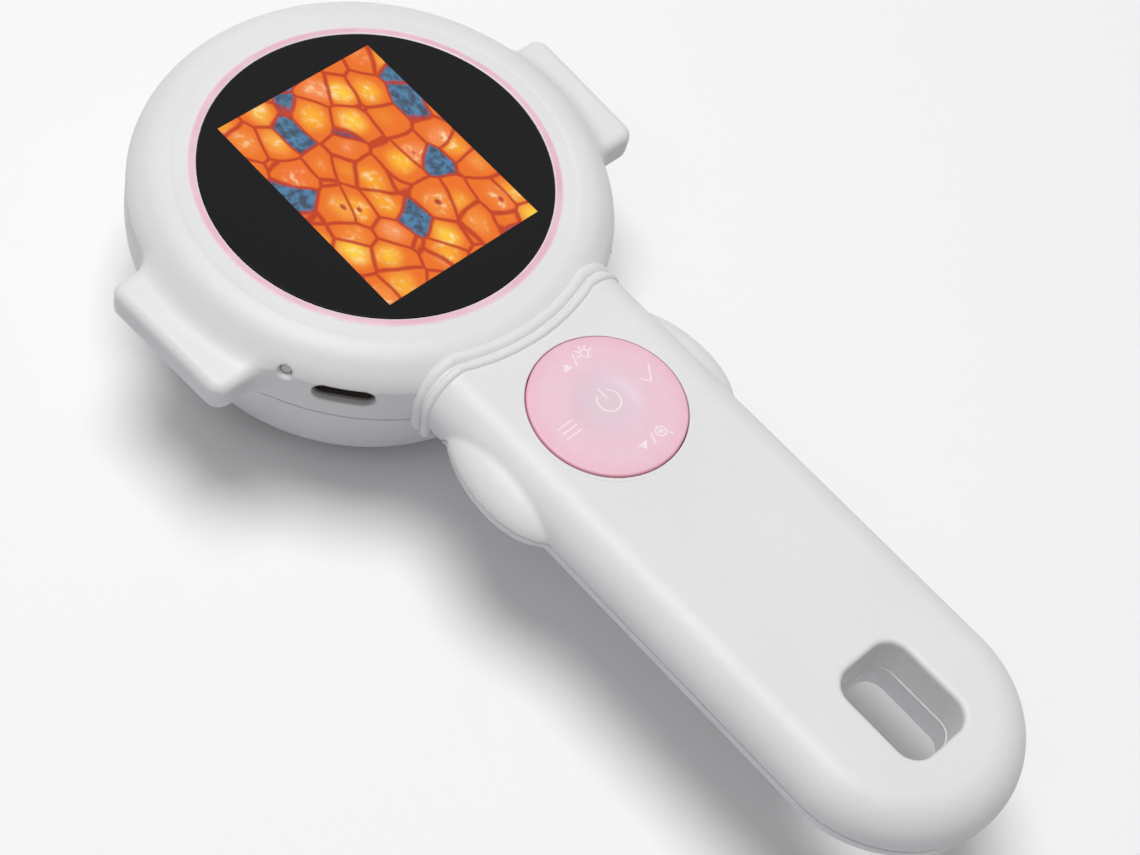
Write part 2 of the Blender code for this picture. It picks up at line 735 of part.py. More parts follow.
def casing_body(name):
    body = head_body(name)
    tools = [handle_body("handle_body"), ear("ear_right", 1), ear("ear_left", -1),
             wing("wing_right", 1), wing("wing_left", -1),
             bead_tube("bead_first", collar_path(collar_radius, COLLAR_BEAD), COLLAR_BEAD),
             bead_tube("bead_second",
                       collar_path(collar_radius + COLLAR_PITCH, COLLAR_SECOND_BEAD),
                       COLLAR_SECOND_BEAD)]
    combine(body, tools, "UNION")
    cavity = combine(head_cavity("head_cavity"), [handle_cavity("handle_cavity")], "UNION")
    return combine(body, [cavity, hanging_hole("hanging_hole")], "DIFFERENCE")


def parting_block(name, above):
    # The side of the parting line, which steps up at the neck, that a shell keeps.
    reach = ear_reach + CUT_OVERRUN
    shift = -SPLIT_GAP / 2 if above else SPLIT_GAP / 2
    far = head_radius + CUT_OVERRUN
    near = -tip_reach - CUT_OVERRUN
    end = -CUT_OVERRUN if above else head_depth + CUT_OVERRUN
    slope_end = split_slope_start + SPLIT_SLOPE_LENGTH
    outline = [(near, HANDLE_SPLIT_DROP + shift), (-slope_end, HANDLE_SPLIT_DROP + shift),
               (-split_slope_start, split_drop + shift), (far, split_drop + shift),
               (far, end), (near, end)]
    return stacked(name, [[(x, y, -depth) for y, depth in outline] for x in (-reach, reach)])


def polar(radius, angle_deg):
    angle = math.radians(angle_deg)
    return radius * math.cos(angle), radius * math.sin(angle)


def case_bosses():
    # The head's four bosses as (x, y).
    return [polar(boss_pitch_radius, angle_deg) for angle_deg in (25.0, 155.0, 195.0, 345.0)]


def handle_bosses():
    return [(0.0, -middle_screw_reach), (0.0, -tip_screw_reach)]


def standoffs():
    return [polar(standoff_pitch_radius, angle_deg) for angle_deg in (0.0, 90.0, 180.0, 270.0)]


def key_posts():
    half_x = key_board_half_width - POST_INSET
    half_y = key_board_half_length - POST_INSET
    return [(side_x * half_x, -keypad_reach + side_y * half_y)
            for side_x in (-1, 1) for side_y in (-1, 1)]


def radial_slot(name, half_width, half_height, corner, middle_drop, angle_deg):
    # A rounded slot through the head's wall, square to it.
    outline = rounded_rectangle(half_width, half_height, corner, 0.0, 0.0, 3)
    loops = []
    for reach in (head_radius - HEAD_WALL - CUT_OVERRUN, head_radius + CUT_OVERRUN):
        loops.append([(reach, across, -middle_drop + up) for across, up in outline])
    return turned_about_z(stacked(name, loops), math.radians(angle_deg))


def usb_drop():
    return board_drop - FIT_GAP - USB_HEIGHT / 2


def card_drop():
    return board_drop - FIT_GAP - CARD_SOCKET_SKIN - FIT_GAP - CARD_THICK / 2


def front_shell():
    shell = casing_body("front_shell")
    boss_end = split_drop - SPLIT_GAP / 2
    bosses = [disc("boss", BOSS_RADIUS, ledge_bottom - WELD_REACH, boss_end, x, y)
              for x, y in case_bosses()]
    bosses += [disc("boss", HANDLE_BOSS_RADIUS, handle_ceiling - WELD_REACH,
                    HANDLE_SPLIT_DROP - SPLIT_GAP / 2, x, y) for x, y in handle_bosses()]
    bosses += [disc("standoff", STANDOFF_RADIUS, ledge_bottom - WELD_REACH,
                    board_drop - FIT_GAP, x, y, shift=0.5) for x, y in standoffs()]
    bosses += [disc("post", POST_RADIUS, handle_ceiling - WELD_REACH,
                    key_board_top - FIT_GAP, x, y, 12) for x, y in key_posts()]
    combine(shell, bosses, "UNION")
    combine(shell, [parting_block("front_side", True)], "INTERSECT")
    bore = SCREW_SHANK_RADIUS + SCREW_GAP
    pocket = ring_radius + FIT_GAP
    # Round cutters and pillars are turned by half a facet, so their corners miss the
    # shell's own.
    pocket_cut = turned("screen_pocket", [(0, -CUT_OVERRUN), (pocket, -CUT_OVERRUN),
                                          (pocket, ledge_top), (ledge_radius, ledge_top),
                                          (ledge_radius, ledge_bottom + FIT_GAP),
                                          (0, ledge_bottom + FIT_GAP)], HEAD_SEGMENTS)
    cuts = [turned_about_z(pocket_cut, math.pi / HEAD_SEGMENTS),
            disc("keypad_hole", KEYPAD_RADIUS + FIT_GAP, HANDLE_TOP_DROP - CUT_OVERRUN,
                 handle_ceiling + FIT_GAP, 0.0, -keypad_reach, 48),
            radial_slot("usb_mouth", USB_WIDTH / 2 + FIT_GAP, USB_HEIGHT / 2 + FIT_GAP,
                        USB_HEIGHT / 2, usb_drop(), USB_ANGLE_DEG),
            radial_slot("card_mouth", CARD_WIDTH / 2 + FIT_GAP, CARD_THICK / 2 + FIT_GAP,
                        CARD_THICK / 2, card_drop(), CARD_ANGLE_DEG),
            radial_slot("reset_hole", RESET_HOLE_RADIUS, RESET_HOLE_RADIUS,
                        RESET_HOLE_RADIUS, reset_drop, RESET_ANGLE_DEG)]
    cuts += [disc("pilot", bore, boss_blind_drop, split_drop + CUT_OVERRUN, x, y, 12)
             for x, y in case_bosses()]
    cuts += [disc("pilot", bore, handle_blind_drop, HANDLE_SPLIT_DROP + CUT_OVERRUN, x, y, 12)
             for x, y in handle_bosses()]
    return combine(shell, cuts, "DIFFERENCE")


def rear_shell():
    shell = casing_body("rear_shell")
    split = split_drop + SPLIT_GAP / 2
    bosses = [disc("boss", BOSS_RADIUS, split, head_floor + WELD_REACH, x, y)
              for x, y in case_bosses()]
    bosses += [disc("boss", HANDLE_BOSS_RADIUS, HANDLE_SPLIT_DROP + SPLIT_GAP / 2,
                    handle_floor + WELD_REACH, x, y) for x, y in handle_bosses()]
    bosses += [disc("post", STANDOFF_RADIUS, board_bottom + FIT_GAP,
                    head_floor + WELD_REACH, x, y, shift=0.5) for x, y in standoffs()]
    bosses += [disc("pad", POST_RADIUS, key_board_bottom + FIT_GAP,
                    handle_floor + WELD_REACH, x, y, 12) for x, y in key_posts()]
    combine(shell, [parting_block("rear_side", False)], "INTERSECT")
    combine(shell, bosses, "UNION")
    bore = SCREW_SHANK_RADIUS + SCREW_GAP
    seat = SCREW_HEAD_RADIUS + SCREW_GAP
    cuts = [disc("opening", opening_radius, head_floor - FIT_GAP, head_depth + CUT_OVERRUN,
                 segments=HEAD_SEGMENTS, shift=0.5)]
    for x, y in case_bosses():
        cuts.append(disc("bore", bore, split_drop - CUT_OVERRUN, boss_seat_drop + FIT_GAP,
                         x, y, 12))
        cuts.append(disc("seat", seat, boss_seat_drop, head_depth + CUT_OVERRUN, x, y, 12))
    for x, y in handle_bosses():
        cuts.append(disc("bore", bore, HANDLE_SPLIT_DROP - CUT_OVERRUN,
                         handle_seat_drop + FIT_GAP, x, y, 12))
        cuts.append(disc("seat", seat, handle_seat_drop, handle_bottom + CUT_OVERRUN, x, y, 12))
    return combine(shell, cuts, "DIFFERENCE")


def screw(name, x, y, seat, blind, shank_radius, head_radius, head_height, downwards):
    # A pan head and a plain shank. Downwards puts the head on top.
    step = -1 if downwards else 1
    head_near = seat + step * SCREW_GAP
    head_far = head_near + step * head_height
    tip = blind + step * SCREW_GAP
    profile = [(0, head_far), (head_radius * 0.7, head_far),
               (head_radius, head_far - step * head_height / 3), (head_radius, head_near),
               (shank_radius, head_near), (shank_radius, tip + step * shank_radius), (0, tip)]
    return moved(turned(name, profile, 12), x, y)


# Screen

def screen_pieces(shades, datum):
    ring = turned("bezel_ring", [(glass_radius + FIT_GAP, 0), (ring_radius, 0),
                                 (ring_radius, RING_THICK),
                                 (glass_radius + FIT_GAP, RING_THICK)], HEAD_SEGMENTS)
    place(ring, shades["pink"], datum)
    place(disc("cover_glass", glass_radius, 0, GLASS_THICK, segments=HEAD_SEGMENTS),
          shades["black_glass"], datum)
    place(block("lcd_panel", (-lcd_half_width, -lcd_half_length, lcd_top),
                (lcd_half_width, lcd_half_length, lcd_bottom)), shades["black_glass"], datum)
    half_x = lcd_half_width - BACKLIGHT_MARGIN
    half_y = lcd_half_length - BACKLIGHT_MARGIN
    place(block("lcd_backlight", (-half_x, -half_y, backlight_top),
                (half_x, half_y, backlight_bottom)), shades["foil"], datum)
    place(display_flex(half_y), shades["flex"], datum)


def display_flex(backlight_half_length):
    # Leaves the back of the display, folds round and lies over the main board.
    top = backlight_bottom + FIT_GAP + FLEX_THICK / 2
    fold_y = -backlight_half_length - FLEX_FOLD
    path = [(-backlight_half_length + FLEX_UNDERLAP, top), (fold_y, top)]
    for step in range(1, 6):
        angle = math.pi * step / 6
        path.append((fold_y - FLEX_FOLD * math.sin(angle),
                     top + FLEX_FOLD * (1 - math.cos(angle))))
    path += [(fold_y, top + 2 * FLEX_FOLD), (fold_y + FLEX_TAIL, top + 2 * FLEX_FOLD)]
    return ribbon("display_flex", path, FLEX_WIDTH, FLEX_THICK, 0.0)


def ribbon(name, path, width, thickness, middle_x):
    # A flat strip along a path of (y, depth).
    sides = []
    for index, point in enumerate(path):
        before = path[max(index - 1, 0)]
        after = path[min(index + 1, len(path) - 1)]
        along = Vector((after[0] - before[0], after[1] - before[1])).normalized()
        across = Vector((-along.y, along.x)) * thickness / 2
        sides.append((Vector(point) + across, Vector(point) - across))
    outline = [side[0] for side in sides] + [side[1] for side in reversed(sides)]
    loops = []
    for x in (middle_x - width / 2, middle_x + width / 2):
        loops.append([(x, point[0], -point[1]) for point in outline])
    return stacked(name, loops)


# Main board

def board_pieces(shades, datum):
    board = disc("main_board", board_radius, board_drop, board_bottom, segments=48)
    holes = [disc("boss_hole", BOSS_RADIUS + FIT_GAP, board_drop - CUT_OVERRUN,
                  board_bottom + CUT_OVERRUN, x, y) for x, y in case_bosses()]
    holes += [disc("screw_hole", GUIDE_SHANK_RADIUS + SCREW_GAP, board_drop - CUT_OVERRUN,
                   board_bottom + CUT_OVERRUN, x, y, 12) for x, y in guide_screws()]
    place(combine(board, holes, "DIFFERENCE"), shades["board"], datum)
    chip_top = board_drop - FIT_GAP - CHIP_THICK
    place(block("processor_chip", (-CHIP_HALF, CHIP_Y - CHIP_HALF, chip_top),
                (CHIP_HALF, CHIP_Y + CHIP_HALF, chip_top + CHIP_THICK)),
          shades["chip"], datum)
    place(block("image_sensor", (-sensor_half, -sensor_half, guide_top),
                (sensor_half, sensor_half, guide_top + SENSOR_THICK)), shades["chip"], datum)
    usb_receptacle(shades, datum)
    card_and_socket(shades, datum)
    reset_switch(shades, datum)


def guide_screws():
    return [polar(guide_screw_radius, angle_deg) for angle_deg in (30.0, 150.0, 270.0)]


def radial_loop(reach, half_width, half_height, corner, drop, steps=3):
    outline = rounded_rectangle(half_width, half_height, corner, 0.0, 0.0, steps)
    return [(reach, across, -drop + up) for across, up in outline]


def usb_receptacle(shades, datum):
    mouth = head_radius - USB_RECESS
    back = mouth - USB_DEPTH
    drop = usb_drop()
    half_width = USB_WIDTH / 2
    half_height = USB_HEIGHT / 2
    shell = stacked("usb_c_receptacle",
                    [radial_loop(reach, half_width, half_height, half_height, drop, 4)
                     for reach in (back, mouth)])
    inner = half_height - USB_WALL
    hollow = stacked("usb_hollow",
                     [radial_loop(reach, half_width - USB_WALL, inner, inner, drop, 4)
                      for reach in (back + USB_BACK_WALL, mouth + CUT_OVERRUN)])
    combine(shell, [hollow], "DIFFERENCE")
    half_tongue = USB_TONGUE_HEIGHT / 2
    tongue = stacked("usb_tongue",
                     [radial_loop(reach, USB_TONGUE_WIDTH / 2, half_tongue, half_tongue / 2,
                                  drop, 2)
                      for reach in (back + USB_BACK_WALL / 2, mouth - USB_TONGUE_SHY)])
    combine(shell, [tongue], "UNION")
    place(shell, shades["steel"], datum, angle=math.radians(USB_ANGLE_DEG))


def card_and_socket(shades, datum):
    angle = math.radians(CARD_ANGLE_DEG)
    outer = head_radius - CARD_SOCKET_SHY
    card_outer = head_radius - CARD_SHY
    card_inner = card_outer - CARD_LENGTH
    half_card = CARD_WIDTH / 2
    drop = card_drop()
    room_top = drop - CARD_THICK / 2 - FIT_GAP
    room_bottom = drop + CARD_THICK / 2 + FIT_GAP
    half_socket = half_card + FIT_GAP + CARD_SOCKET_WALL
    inner = card_inner - FIT_GAP - CARD_SOCKET_WALL
    socket = block("card_socket", (inner, -half_socket, room_top - CARD_SOCKET_SKIN),
                   (outer, half_socket, room_bottom + CARD_SOCKET_SKIN))
    room = block("card_room", (card_inner - FIT_GAP, -half_card - FIT_GAP, room_top),
                 (outer + CUT_OVERRUN, half_card + FIT_GAP, room_bottom))
    place(combine(socket, [room], "DIFFERENCE"), shades["steel"], datum, angle=angle)
    card = block("memory_card", (card_inner, -half_card, drop - CARD_THICK / 2),
                 (card_outer, half_card, drop + CARD_THICK / 2))
    place(card, shades["chip"], datum, (card_inner, 0.0, -drop), angle)


def reset_switch(shades, datum):
    angle = math.radians(RESET_ANGLE_DEG)
    tip = head_radius - RESET_TIP_SHY
    root = tip - RESET_TIP_LENGTH
    face = root + RESET_SOCKET_DEPTH - FIT_GAP
    bottom = board_drop - FIT_GAP
    body = block("reset_switch", (face - RESET_DEPTH, -RESET_WIDTH / 2, bottom - RESET_HEIGHT),
                 (face, RESET_WIDTH / 2, bottom))
    bore_radius = RESET_TIP_RADIUS + SLIDE_GAP
    bore = stacked("reset_bore", [radial_loop(reach, bore_radius, bore_radius, bore_radius,
                                              reset_drop)
                                  for reach in (root - FIT_GAP - RESET_TRAVEL,
                                                face + CUT_OVERRUN)])
    place(combine(body, [bore], "DIFFERENCE"), shades["chip"], datum, angle=angle)
    plunger = stacked("reset_plunger", [radial_loop(reach, RESET_TIP_RADIUS, RESET_TIP_RADIUS,
                                                    RESET_TIP_RADIUS, reset_drop)
                                        for reach in (root, tip)])
    place(plunger, shades["lead_black"], datum, (root, 0.0, -reset_drop), angle)


# Optics

def optics_pieces(shades, datum):
    tube = GUIDE_BORE + GUIDE_WALL
    guide = turned("lens_guide", [(GUIDE_BORE, guide_top), (guide_flange_radius, guide_top),
                                  (guide_flange_radius, guide_flange_bottom),
                                  (tube, guide_flange_bottom), (tube, web_bottom),
                                  (GUIDE_BORE, web_bottom)], 40)
    slot_half = BARREL_PIN_RADIUS + SLIDE_GAP
    cuts = [block("slot", (-tube - CUT_OVERRUN, -slot_half, barrel_middle - slot_reach),
                  (tube + CUT_OVERRUN, slot_half, barrel_middle + slot_reach))]
    blind = guide_top + GUIDE_BITE + SCREW_GAP
    cuts += [disc("pilot", GUIDE_SHANK_RADIUS + SCREW_GAP, guide_top - CUT_OVERRUN, blind,
                  x, y, 12) for x, y in guide_screws()]
    place(combine(guide, cuts, "DIFFERENCE"), shades["chip"], datum)
    for index, (x, y) in enumerate(guide_screws()):
        made = screw("guide_screw_%d" % (index + 1), x, y, board_drop, blind,
                     GUIDE_SHANK_RADIUS, GUIDE_HEAD_RADIUS, GUIDE_HEAD_HEIGHT, True)
        place(made, shades["steel"], datum)
    lens_group(shades, datum)
    focus_ring(shades, datum)
    hood_and_light(shades, datum)


def lens_group(shades, datum):
    top = barrel_middle - BARREL_LENGTH / 2
    bottom = barrel_middle + BARREL_LENGTH / 2
    shoulder_top = barrel_middle - BARREL_SHOULDER_THICK / 2
    shoulder_bottom = barrel_middle + BARREL_SHOULDER_THICK / 2
    barrel = turned("lens_barrel", [(barrel_bore, top), (barrel_radius, top),
                                    (barrel_radius, bottom), (barrel_bore, bottom),
                                    (barrel_bore, shoulder_bottom),
                                    (barrel_shoulder_radius, shoulder_bottom),
                                    (barrel_shoulder_radius, shoulder_top),
                                    (barrel_bore, shoulder_top)])
    pins = []
    for side in (-1, 1):
        loops = [radial_loop(reach, BARREL_PIN_RADIUS, BARREL_PIN_RADIUS, BARREL_PIN_RADIUS,
                             barrel_middle)
                 for reach in ((barrel_bore + barrel_radius) / 2, barrel_pin_reach)]
        pins.append(turned_about_z(stacked("pin", loops), 0.0 if side > 0 else math.pi))
    place(combine(barrel, pins, "UNION"), shades["chip"], datum)
    lens_radius = barrel_bore - FIT_GAP
    place(lens("field_lens", lens_radius, shoulder_top - FIT_GAP - LENS_CROWN
               - FIELD_LENS_EDGE, FIELD_LENS_EDGE), shades["clear"], datum)
    objective_top = shoulder_bottom + FIT_GAP + LENS_CROWN
    place(lens("objective_lens", lens_radius, objective_top, OBJECTIVE_LENS_EDGE),
          shades["clear"], datum)
    retainer_top = objective_top + OBJECTIVE_LENS_EDGE + FIT_GAP
    place(turned("lens_retainer", [(barrel_shoulder_radius, retainer_top),
                                   (lens_radius, retainer_top),
                                   (lens_radius, retainer_top + RETAINER_THICK),
                                   (barrel_shoulder_radius, retainer_top + RETAINER_THICK)]),
          shades["chip"], datum)


def lens(name, radius, edge_top, edge):
    # Two domes on a short rim.
    profile = [(0, edge_top - LENS_CROWN), (radius * 0.55, edge_top - LENS_CROWN * 0.7),
               (radius, edge_top), (radius, edge_top + edge),
               (radius * 0.55, edge_top + edge + LENS_CROWN * 0.7),
               (0, edge_top + edge + LENS_CROWN)]
    return turned(name, profile, 24)


def focus_ring(shades, datum):
    sleeve = sleeve_bore + SLEEVE_WALL
    flange = focus_radius + FOCUS_FLANGE
    grip_top = head_depth + FIT_GAP
    profile = [(sleeve_bore, sleeve_top), (sleeve, sleeve_top), (sleeve, web_top),
               (flange, web_top), (flange, flange_foot), (focus_radius, flange_foot),
               (focus_radius, grip_top), (focus_radius, focus_bottom - FOCUS_EDGE),
               (focus_radius - FOCUS_EDGE, focus_bottom), (focus_bore, focus_bottom),
               (focus_bore, web_bottom), (sleeve_bore, web_bottom)]
    fluted = (7, 8)

    def flutes(index, radius, step):
        if index not in fluted:
            return radius
        return radius - FOCUS_FLUTE_DEPTH * (0, 1, 1)[step % 3]

    ring = turned("focus_ring", profile, 3 * FLUTE_COUNT, flutes)
    slots = [helical_slot("slot_%d" % turn, turn * math.pi, sleeve) for turn in (0, 1)]
    place(combine(ring, slots, "DIFFERENCE"), shades["pink"], datum)


def helical_slot(name, start, sleeve):
    # Falls as the angle grows, so that a turn of the ring lifts the barrel's pin.
    swing = math.radians(FOCUS_TURN_DEG)
    spare = 1.35 * (BARREL_PIN_RADIUS + SLIDE_GAP) / sleeve
    reach_in = sleeve_bore - SLIDE_GAP / 2
    reach_out = sleeve + CUT_OVERRUN / 4
    half = 1.15 * (BARREL_PIN_RADIUS + SLIDE_GAP)
    steps = 14
    loops = []
    for step in range(steps + 1):
        angle = (swing + spare) * (2 * step / steps - 1)
        middle = barrel_middle + LENS_TRAVEL * angle / swing
        loop = []
        for reach, drop in ((reach_in, middle - half), (reach_out, middle - half),
                            (reach_out, middle + half), (reach_in, middle + half)):
            loop.append((reach * math.cos(start + angle), reach * math.sin(start + angle),
                         -drop))
        loops.append(loop)
    return stacked(name, loops)


def hood_and_light(shades, datum):
    collar = GUIDE_BORE - FIT_GAP
    collar_bore = collar - HOOD_COLLAR_WALL
    edge = HOOD_WALL / 4
    hood = turned("light_hood", [(collar_bore, hood_collar_top), (collar, hood_collar_top),
                                 (collar, hood_web_top), (hood_radius, hood_web_top),
                                 (hood_radius, hood_bottom - edge),
                                 (hood_radius - edge, hood_bottom),
                                 (hood_inner, hood_bottom), (hood_inner, hood_web_bottom),
                                 (collar_bore, hood_web_bottom)], 48)
    place(hood, shades["clear"], datum)
    place(turned("led_board", [(LED_BOARD_BORE, led_board_top), (hood_room, led_board_top),
                               (hood_room, led_board_bottom), (LED_BOARD_BORE, led_board_bottom)],
                 40), shades["board"], datum)
    count = 6
    for index in range(count):
        angle = 2 * math.pi * index / count
        half = LED_SIZE / 2
        lamp = block("led_%d" % (index + 1), (led_pitch_radius - half, -half, led_top),
                     (led_pitch_radius + half, half, led_bottom))
        place(lamp, shades["lamp"], datum, angle=angle)
    place(turned("diffuser_ring", [(DIFFUSER_BORE, diffuser_top), (hood_room, diffuser_top),
                                   (hood_room, diffuser_bottom), (DIFFUSER_BORE, diffuser_bottom)],
                 40), shades["clear"], datum)


# Keypad

def keypad_pieces(shades, datum):
    pivot = (0.0, -keypad_reach, -plate_top)
    cap = turned("keypad_disc", [(0, KEYPAD_DROP + KEYPAD_DISH),
                                 (KEYPAD_RADIUS / 3, KEYPAD_DROP + KEYPAD_DISH),
                                 (KEYPAD_RADIUS / 2, KEYPAD_DROP),
                                 (KEYPAD_RADIUS - KEYPAD_EDGE, KEYPAD_DROP),
                                 (KEYPAD_RADIUS - KEYPAD_EDGE / 4, KEYPAD_DROP + KEYPAD_EDGE / 4),
                                 (KEYPAD_RADIUS, KEYPAD_DROP + KEYPAD_EDGE),
                                 (KEYPAD_RADIUS, flange_top), (flange_radius, flange_top),
                                 (flange_radius, flange_bottom), (KEYPAD_HUB, flange_bottom),
                                 (KEYPAD_HUB, flange_bottom + hub_height),
                                 (0, flange_bottom + hub_height)], 48)
    place(moved(cap, y=-keypad_reach), shades["pink"], datum, pivot)
    plate = turned("keypad_guide", [(0, plate_top), (guide_plate_radius, plate_top),
                                    (guide_plate_radius, plate_bottom),
                                    (KEYPAD_HUB, plate_bottom),
                                    (KEYPAD_HUB, plate_bottom + hub_height),
                                    (0, plate_bottom + hub_height)])
    place(moved(plate, y=-keypad_reach), shades["clear"], datum, pivot)
    mat = disc("keypad_mat", mat_radius, mat_top, mat_bottom, segments=ROUND_SEGMENTS)
    nubs = []
    for name, x, y in key_places():
        height = MAT_NUB_HEIGHT if name == "power" else MAT_NUB_HEIGHT - KEY_TRAVEL
        nubs.append(disc("nub", MAT_NUB_RADIUS, mat_bottom - MAT_THICK / 2,
                         mat_bottom + height, x, y, 12))
    combine(mat, nubs, "UNION")
    place(moved(mat, y=-keypad_reach), shades["rubber"], datum, pivot)
    for name, x, y in key_places():
        key_switch(name, x, y - keypad_reach, shades, datum)
    outline = rounded_rectangle(key_board_half_width, key_board_half_length,
                                KEY_BOARD_CORNER, 0.0, -keypad_reach)
    place(prism("keypad_board", outline, key_board_top, key_board_bottom),
          shades["board"], datum)
    place(keypad_ribbon(), shades["flex"], datum)


def key_places():
    return [("power", 0.0, 0.0), ("up", 0.0, key_pitch), ("down", 0.0, -key_pitch),
            ("ok", key_pitch, 0.0), ("mode", -key_pitch, 0.0)]


def key_switch(name, x, y, shades, datum):
    body = block("key_switch_" + name, (x - SWITCH_HALF, y - SWITCH_HALF, switch_top),
                 (x + SWITCH_HALF, y + SWITCH_HALF, switch_bottom))
    floor = plunger_top + PLUNGER_LENGTH + KEY_TRAVEL + FIT_GAP
    bore = disc("bore", PLUNGER_RADIUS + SLIDE_GAP, switch_top - CUT_OVERRUN, floor, x, y, 12)
    place(combine(body, [bore], "DIFFERENCE"), shades["chip"], datum)
    plunger = disc("key_plunger_" + name, PLUNGER_RADIUS, plunger_top,
                   plunger_top + PLUNGER_LENGTH, x, y, 12)
    place(plunger, shades["steel"], datum, (x, y, -plunger_top))


def keypad_ribbon():
    # From the keypad's board up and over the edge of the main board.
    low = key_board_top - FIT_GAP - RIBBON_THICK / 2
    high = board_drop - FIT_GAP - RIBBON_THICK / 2
    near = -keypad_reach + key_board_half_length
    crest = -board_radius - RIBBON_RUN_IN
    path = [(near - RIBBON_OVERLAP, low), (near, low), (crest, high),
            (-board_radius + RIBBON_OVERLAP, high)]
    return ribbon("keypad_ribbon", path, RIBBON_WIDTH, RIBBON_THICK, -ribbon_x)


# Battery

def battery_pieces(shades, datum):
    bottom = handle_floor - FIT_GAP
    cell = block("battery_cell", (-battery_half_width, -battery_near - BATTERY_LENGTH,
                                  bottom - BATTERY_THICK),
                 (battery_half_width, -battery_near, bottom))
    place(bake(soften(cell, BATTERY_ROUND)), shades["foil"], datum)
    top = board_drop - FIT_GAP - CONNECTOR_HEIGHT
    place(block("battery_connector", (CONNECTOR_X - CONNECTOR_HALF_WIDTH, -connector_near, top),
                (CONNECTOR_X + CONNECTOR_HALF_WIDTH, -connector_near + CONNECTOR_DEPTH,
                 top + CONNECTOR_HEIGHT)), shades["clear"], datum)
    lead("battery_lead_red", -1, shades["lead_red"], datum)
    lead("battery_lead_black", 1, shades["lead_black"], datum)


def lead(name, side, material, datum):
    # Leaves the cell, runs up the handle beside the keypad's board and ends at the connector.
    start_x = battery_half_width - LEAD_INSET
    start_y = -battery_near + LEAD_RADIUS + FIT_GAP
    end_x = CONNECTOR_X + side * CONNECTOR_HALF_WIDTH / 2
    end_y = -connector_near - FIT_GAP
    drop = lead_drop + side * LEAD_SPACING / 2
    end_drop = board_drop - FIT_GAP - CONNECTOR_HEIGHT / 2 + side * CONNECTOR_HEIGHT / 4
    board_near = -keypad_reach + key_board_half_length
    board_far = -keypad_reach - key_board_half_length
    route = [(start_x, start_y, drop), (lead_side_x, board_far + LEAD_RADIUS, drop),
             (lead_side_x, -keypad_reach, drop),
             (lead_side_x, board_near, drop),
             ((lead_side_x + end_x) / 2, (board_near + end_y) / 2, (drop + end_drop) / 2),
             (end_x, end_y - LEAD_RUN_OUT, end_drop), (end_x, end_y, end_drop)]
    points = smooth_route([Vector((x, y, -depth)) for x, y, depth in route], 3)
    curve = bpy.data.curves.new(name, "CURVE")
    curve.dimensions = "3D"
    curve.bevel_depth = LEAD_RADIUS
    curve.bevel_resolution = 2
    curve.use_fill_caps = True
    curve.resolution_u = 1
    curve.render_resolution_u = 0
    spline = curve.splines.new("POLY")
    spline.points.add(len(points) - 1)
    for slot, point in zip(spline.points, points):
        slot.co = (*point, 1.0)
    curve.materials.append(material)
    made = bpy.data.objects.new(name, curve)
    bpy.context.scene.collection.objects.link(made)
    made.parent = datum


def smooth_route(route, steps):
    # A curve through the route's points whose slope at each is that of its neighbours.
    points = []
    last = len(route) - 1
    for index in range(last):
        start = route[index]
        end = route[index + 1]
        before = route[max(index - 1, 0)]
        after = route[min(index + 2, last)]
        slope_in = (end - before) / 2
        slope_out = (after - start) / 2
        for step in range(steps):
            t = step / steps
            points.append((2 * t ** 3 - 3 * t ** 2 + 1) * start + (t ** 3 - 2 * t ** 2 + t) * slope_in
                          + (3 * t ** 2 - 2 * t ** 3) * end + (t ** 3 - t ** 2) * slope_out)
    points.append(route[last])
    return points


def case_screws(shades, datum):
    places = [(x, y, boss_seat_drop, boss_blind_drop) for x, y in case_bosses()]
    places += [(x, y, handle_seat_drop, handle_blind_drop) for x, y in handle_bosses()]
    for index, (x, y, seat, blind) in enumerate(places):
        made = screw("case_screw_%d" % (index + 1), x, y, seat, blind, SCREW_SHANK_RADIUS,
                     SCREW_HEAD_RADIUS, SCREW_HEAD_HEIGHT, False)
        place(made, shades["steel"], datum)


def build():
    for thing in list(bpy.data.objects):
        bpy.data.objects.remove(thing)
    datum = bpy.data.objects.new("glass_centre", None)
    bpy.context.scene.collection.objects.link(datum)
    datum.location = (0.0, head_y, glass_z)
    shades = make_finishes()
    place(front_shell(), shades["shell"], datum)
    place(rear_shell(), shades["shell"], datum)
    case_screws(shades, datum)
    screen_pieces(shades, datum)
    board_pieces(shades, datum)
    optics_pieces(shades, datum)
    keypad_pieces(shades, datum)
    battery_pieces(shades, datum)


build()
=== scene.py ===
import math

import bpy
import numpy as np
from mathutils import Matrix, Vector


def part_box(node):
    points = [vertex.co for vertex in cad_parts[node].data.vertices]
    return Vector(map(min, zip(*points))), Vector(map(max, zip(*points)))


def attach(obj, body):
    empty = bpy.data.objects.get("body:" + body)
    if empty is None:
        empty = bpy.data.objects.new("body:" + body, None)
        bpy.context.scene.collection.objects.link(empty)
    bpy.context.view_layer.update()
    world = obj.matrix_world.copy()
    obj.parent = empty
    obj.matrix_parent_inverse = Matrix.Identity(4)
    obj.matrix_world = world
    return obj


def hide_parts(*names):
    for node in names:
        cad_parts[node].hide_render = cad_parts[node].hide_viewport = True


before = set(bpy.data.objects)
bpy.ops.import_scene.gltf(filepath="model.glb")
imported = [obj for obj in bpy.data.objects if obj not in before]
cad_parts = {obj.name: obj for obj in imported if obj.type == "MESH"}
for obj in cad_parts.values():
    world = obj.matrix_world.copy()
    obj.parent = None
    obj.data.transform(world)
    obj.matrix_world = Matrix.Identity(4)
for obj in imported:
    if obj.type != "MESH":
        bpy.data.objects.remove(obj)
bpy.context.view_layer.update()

glassLow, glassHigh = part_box("cover_glass")
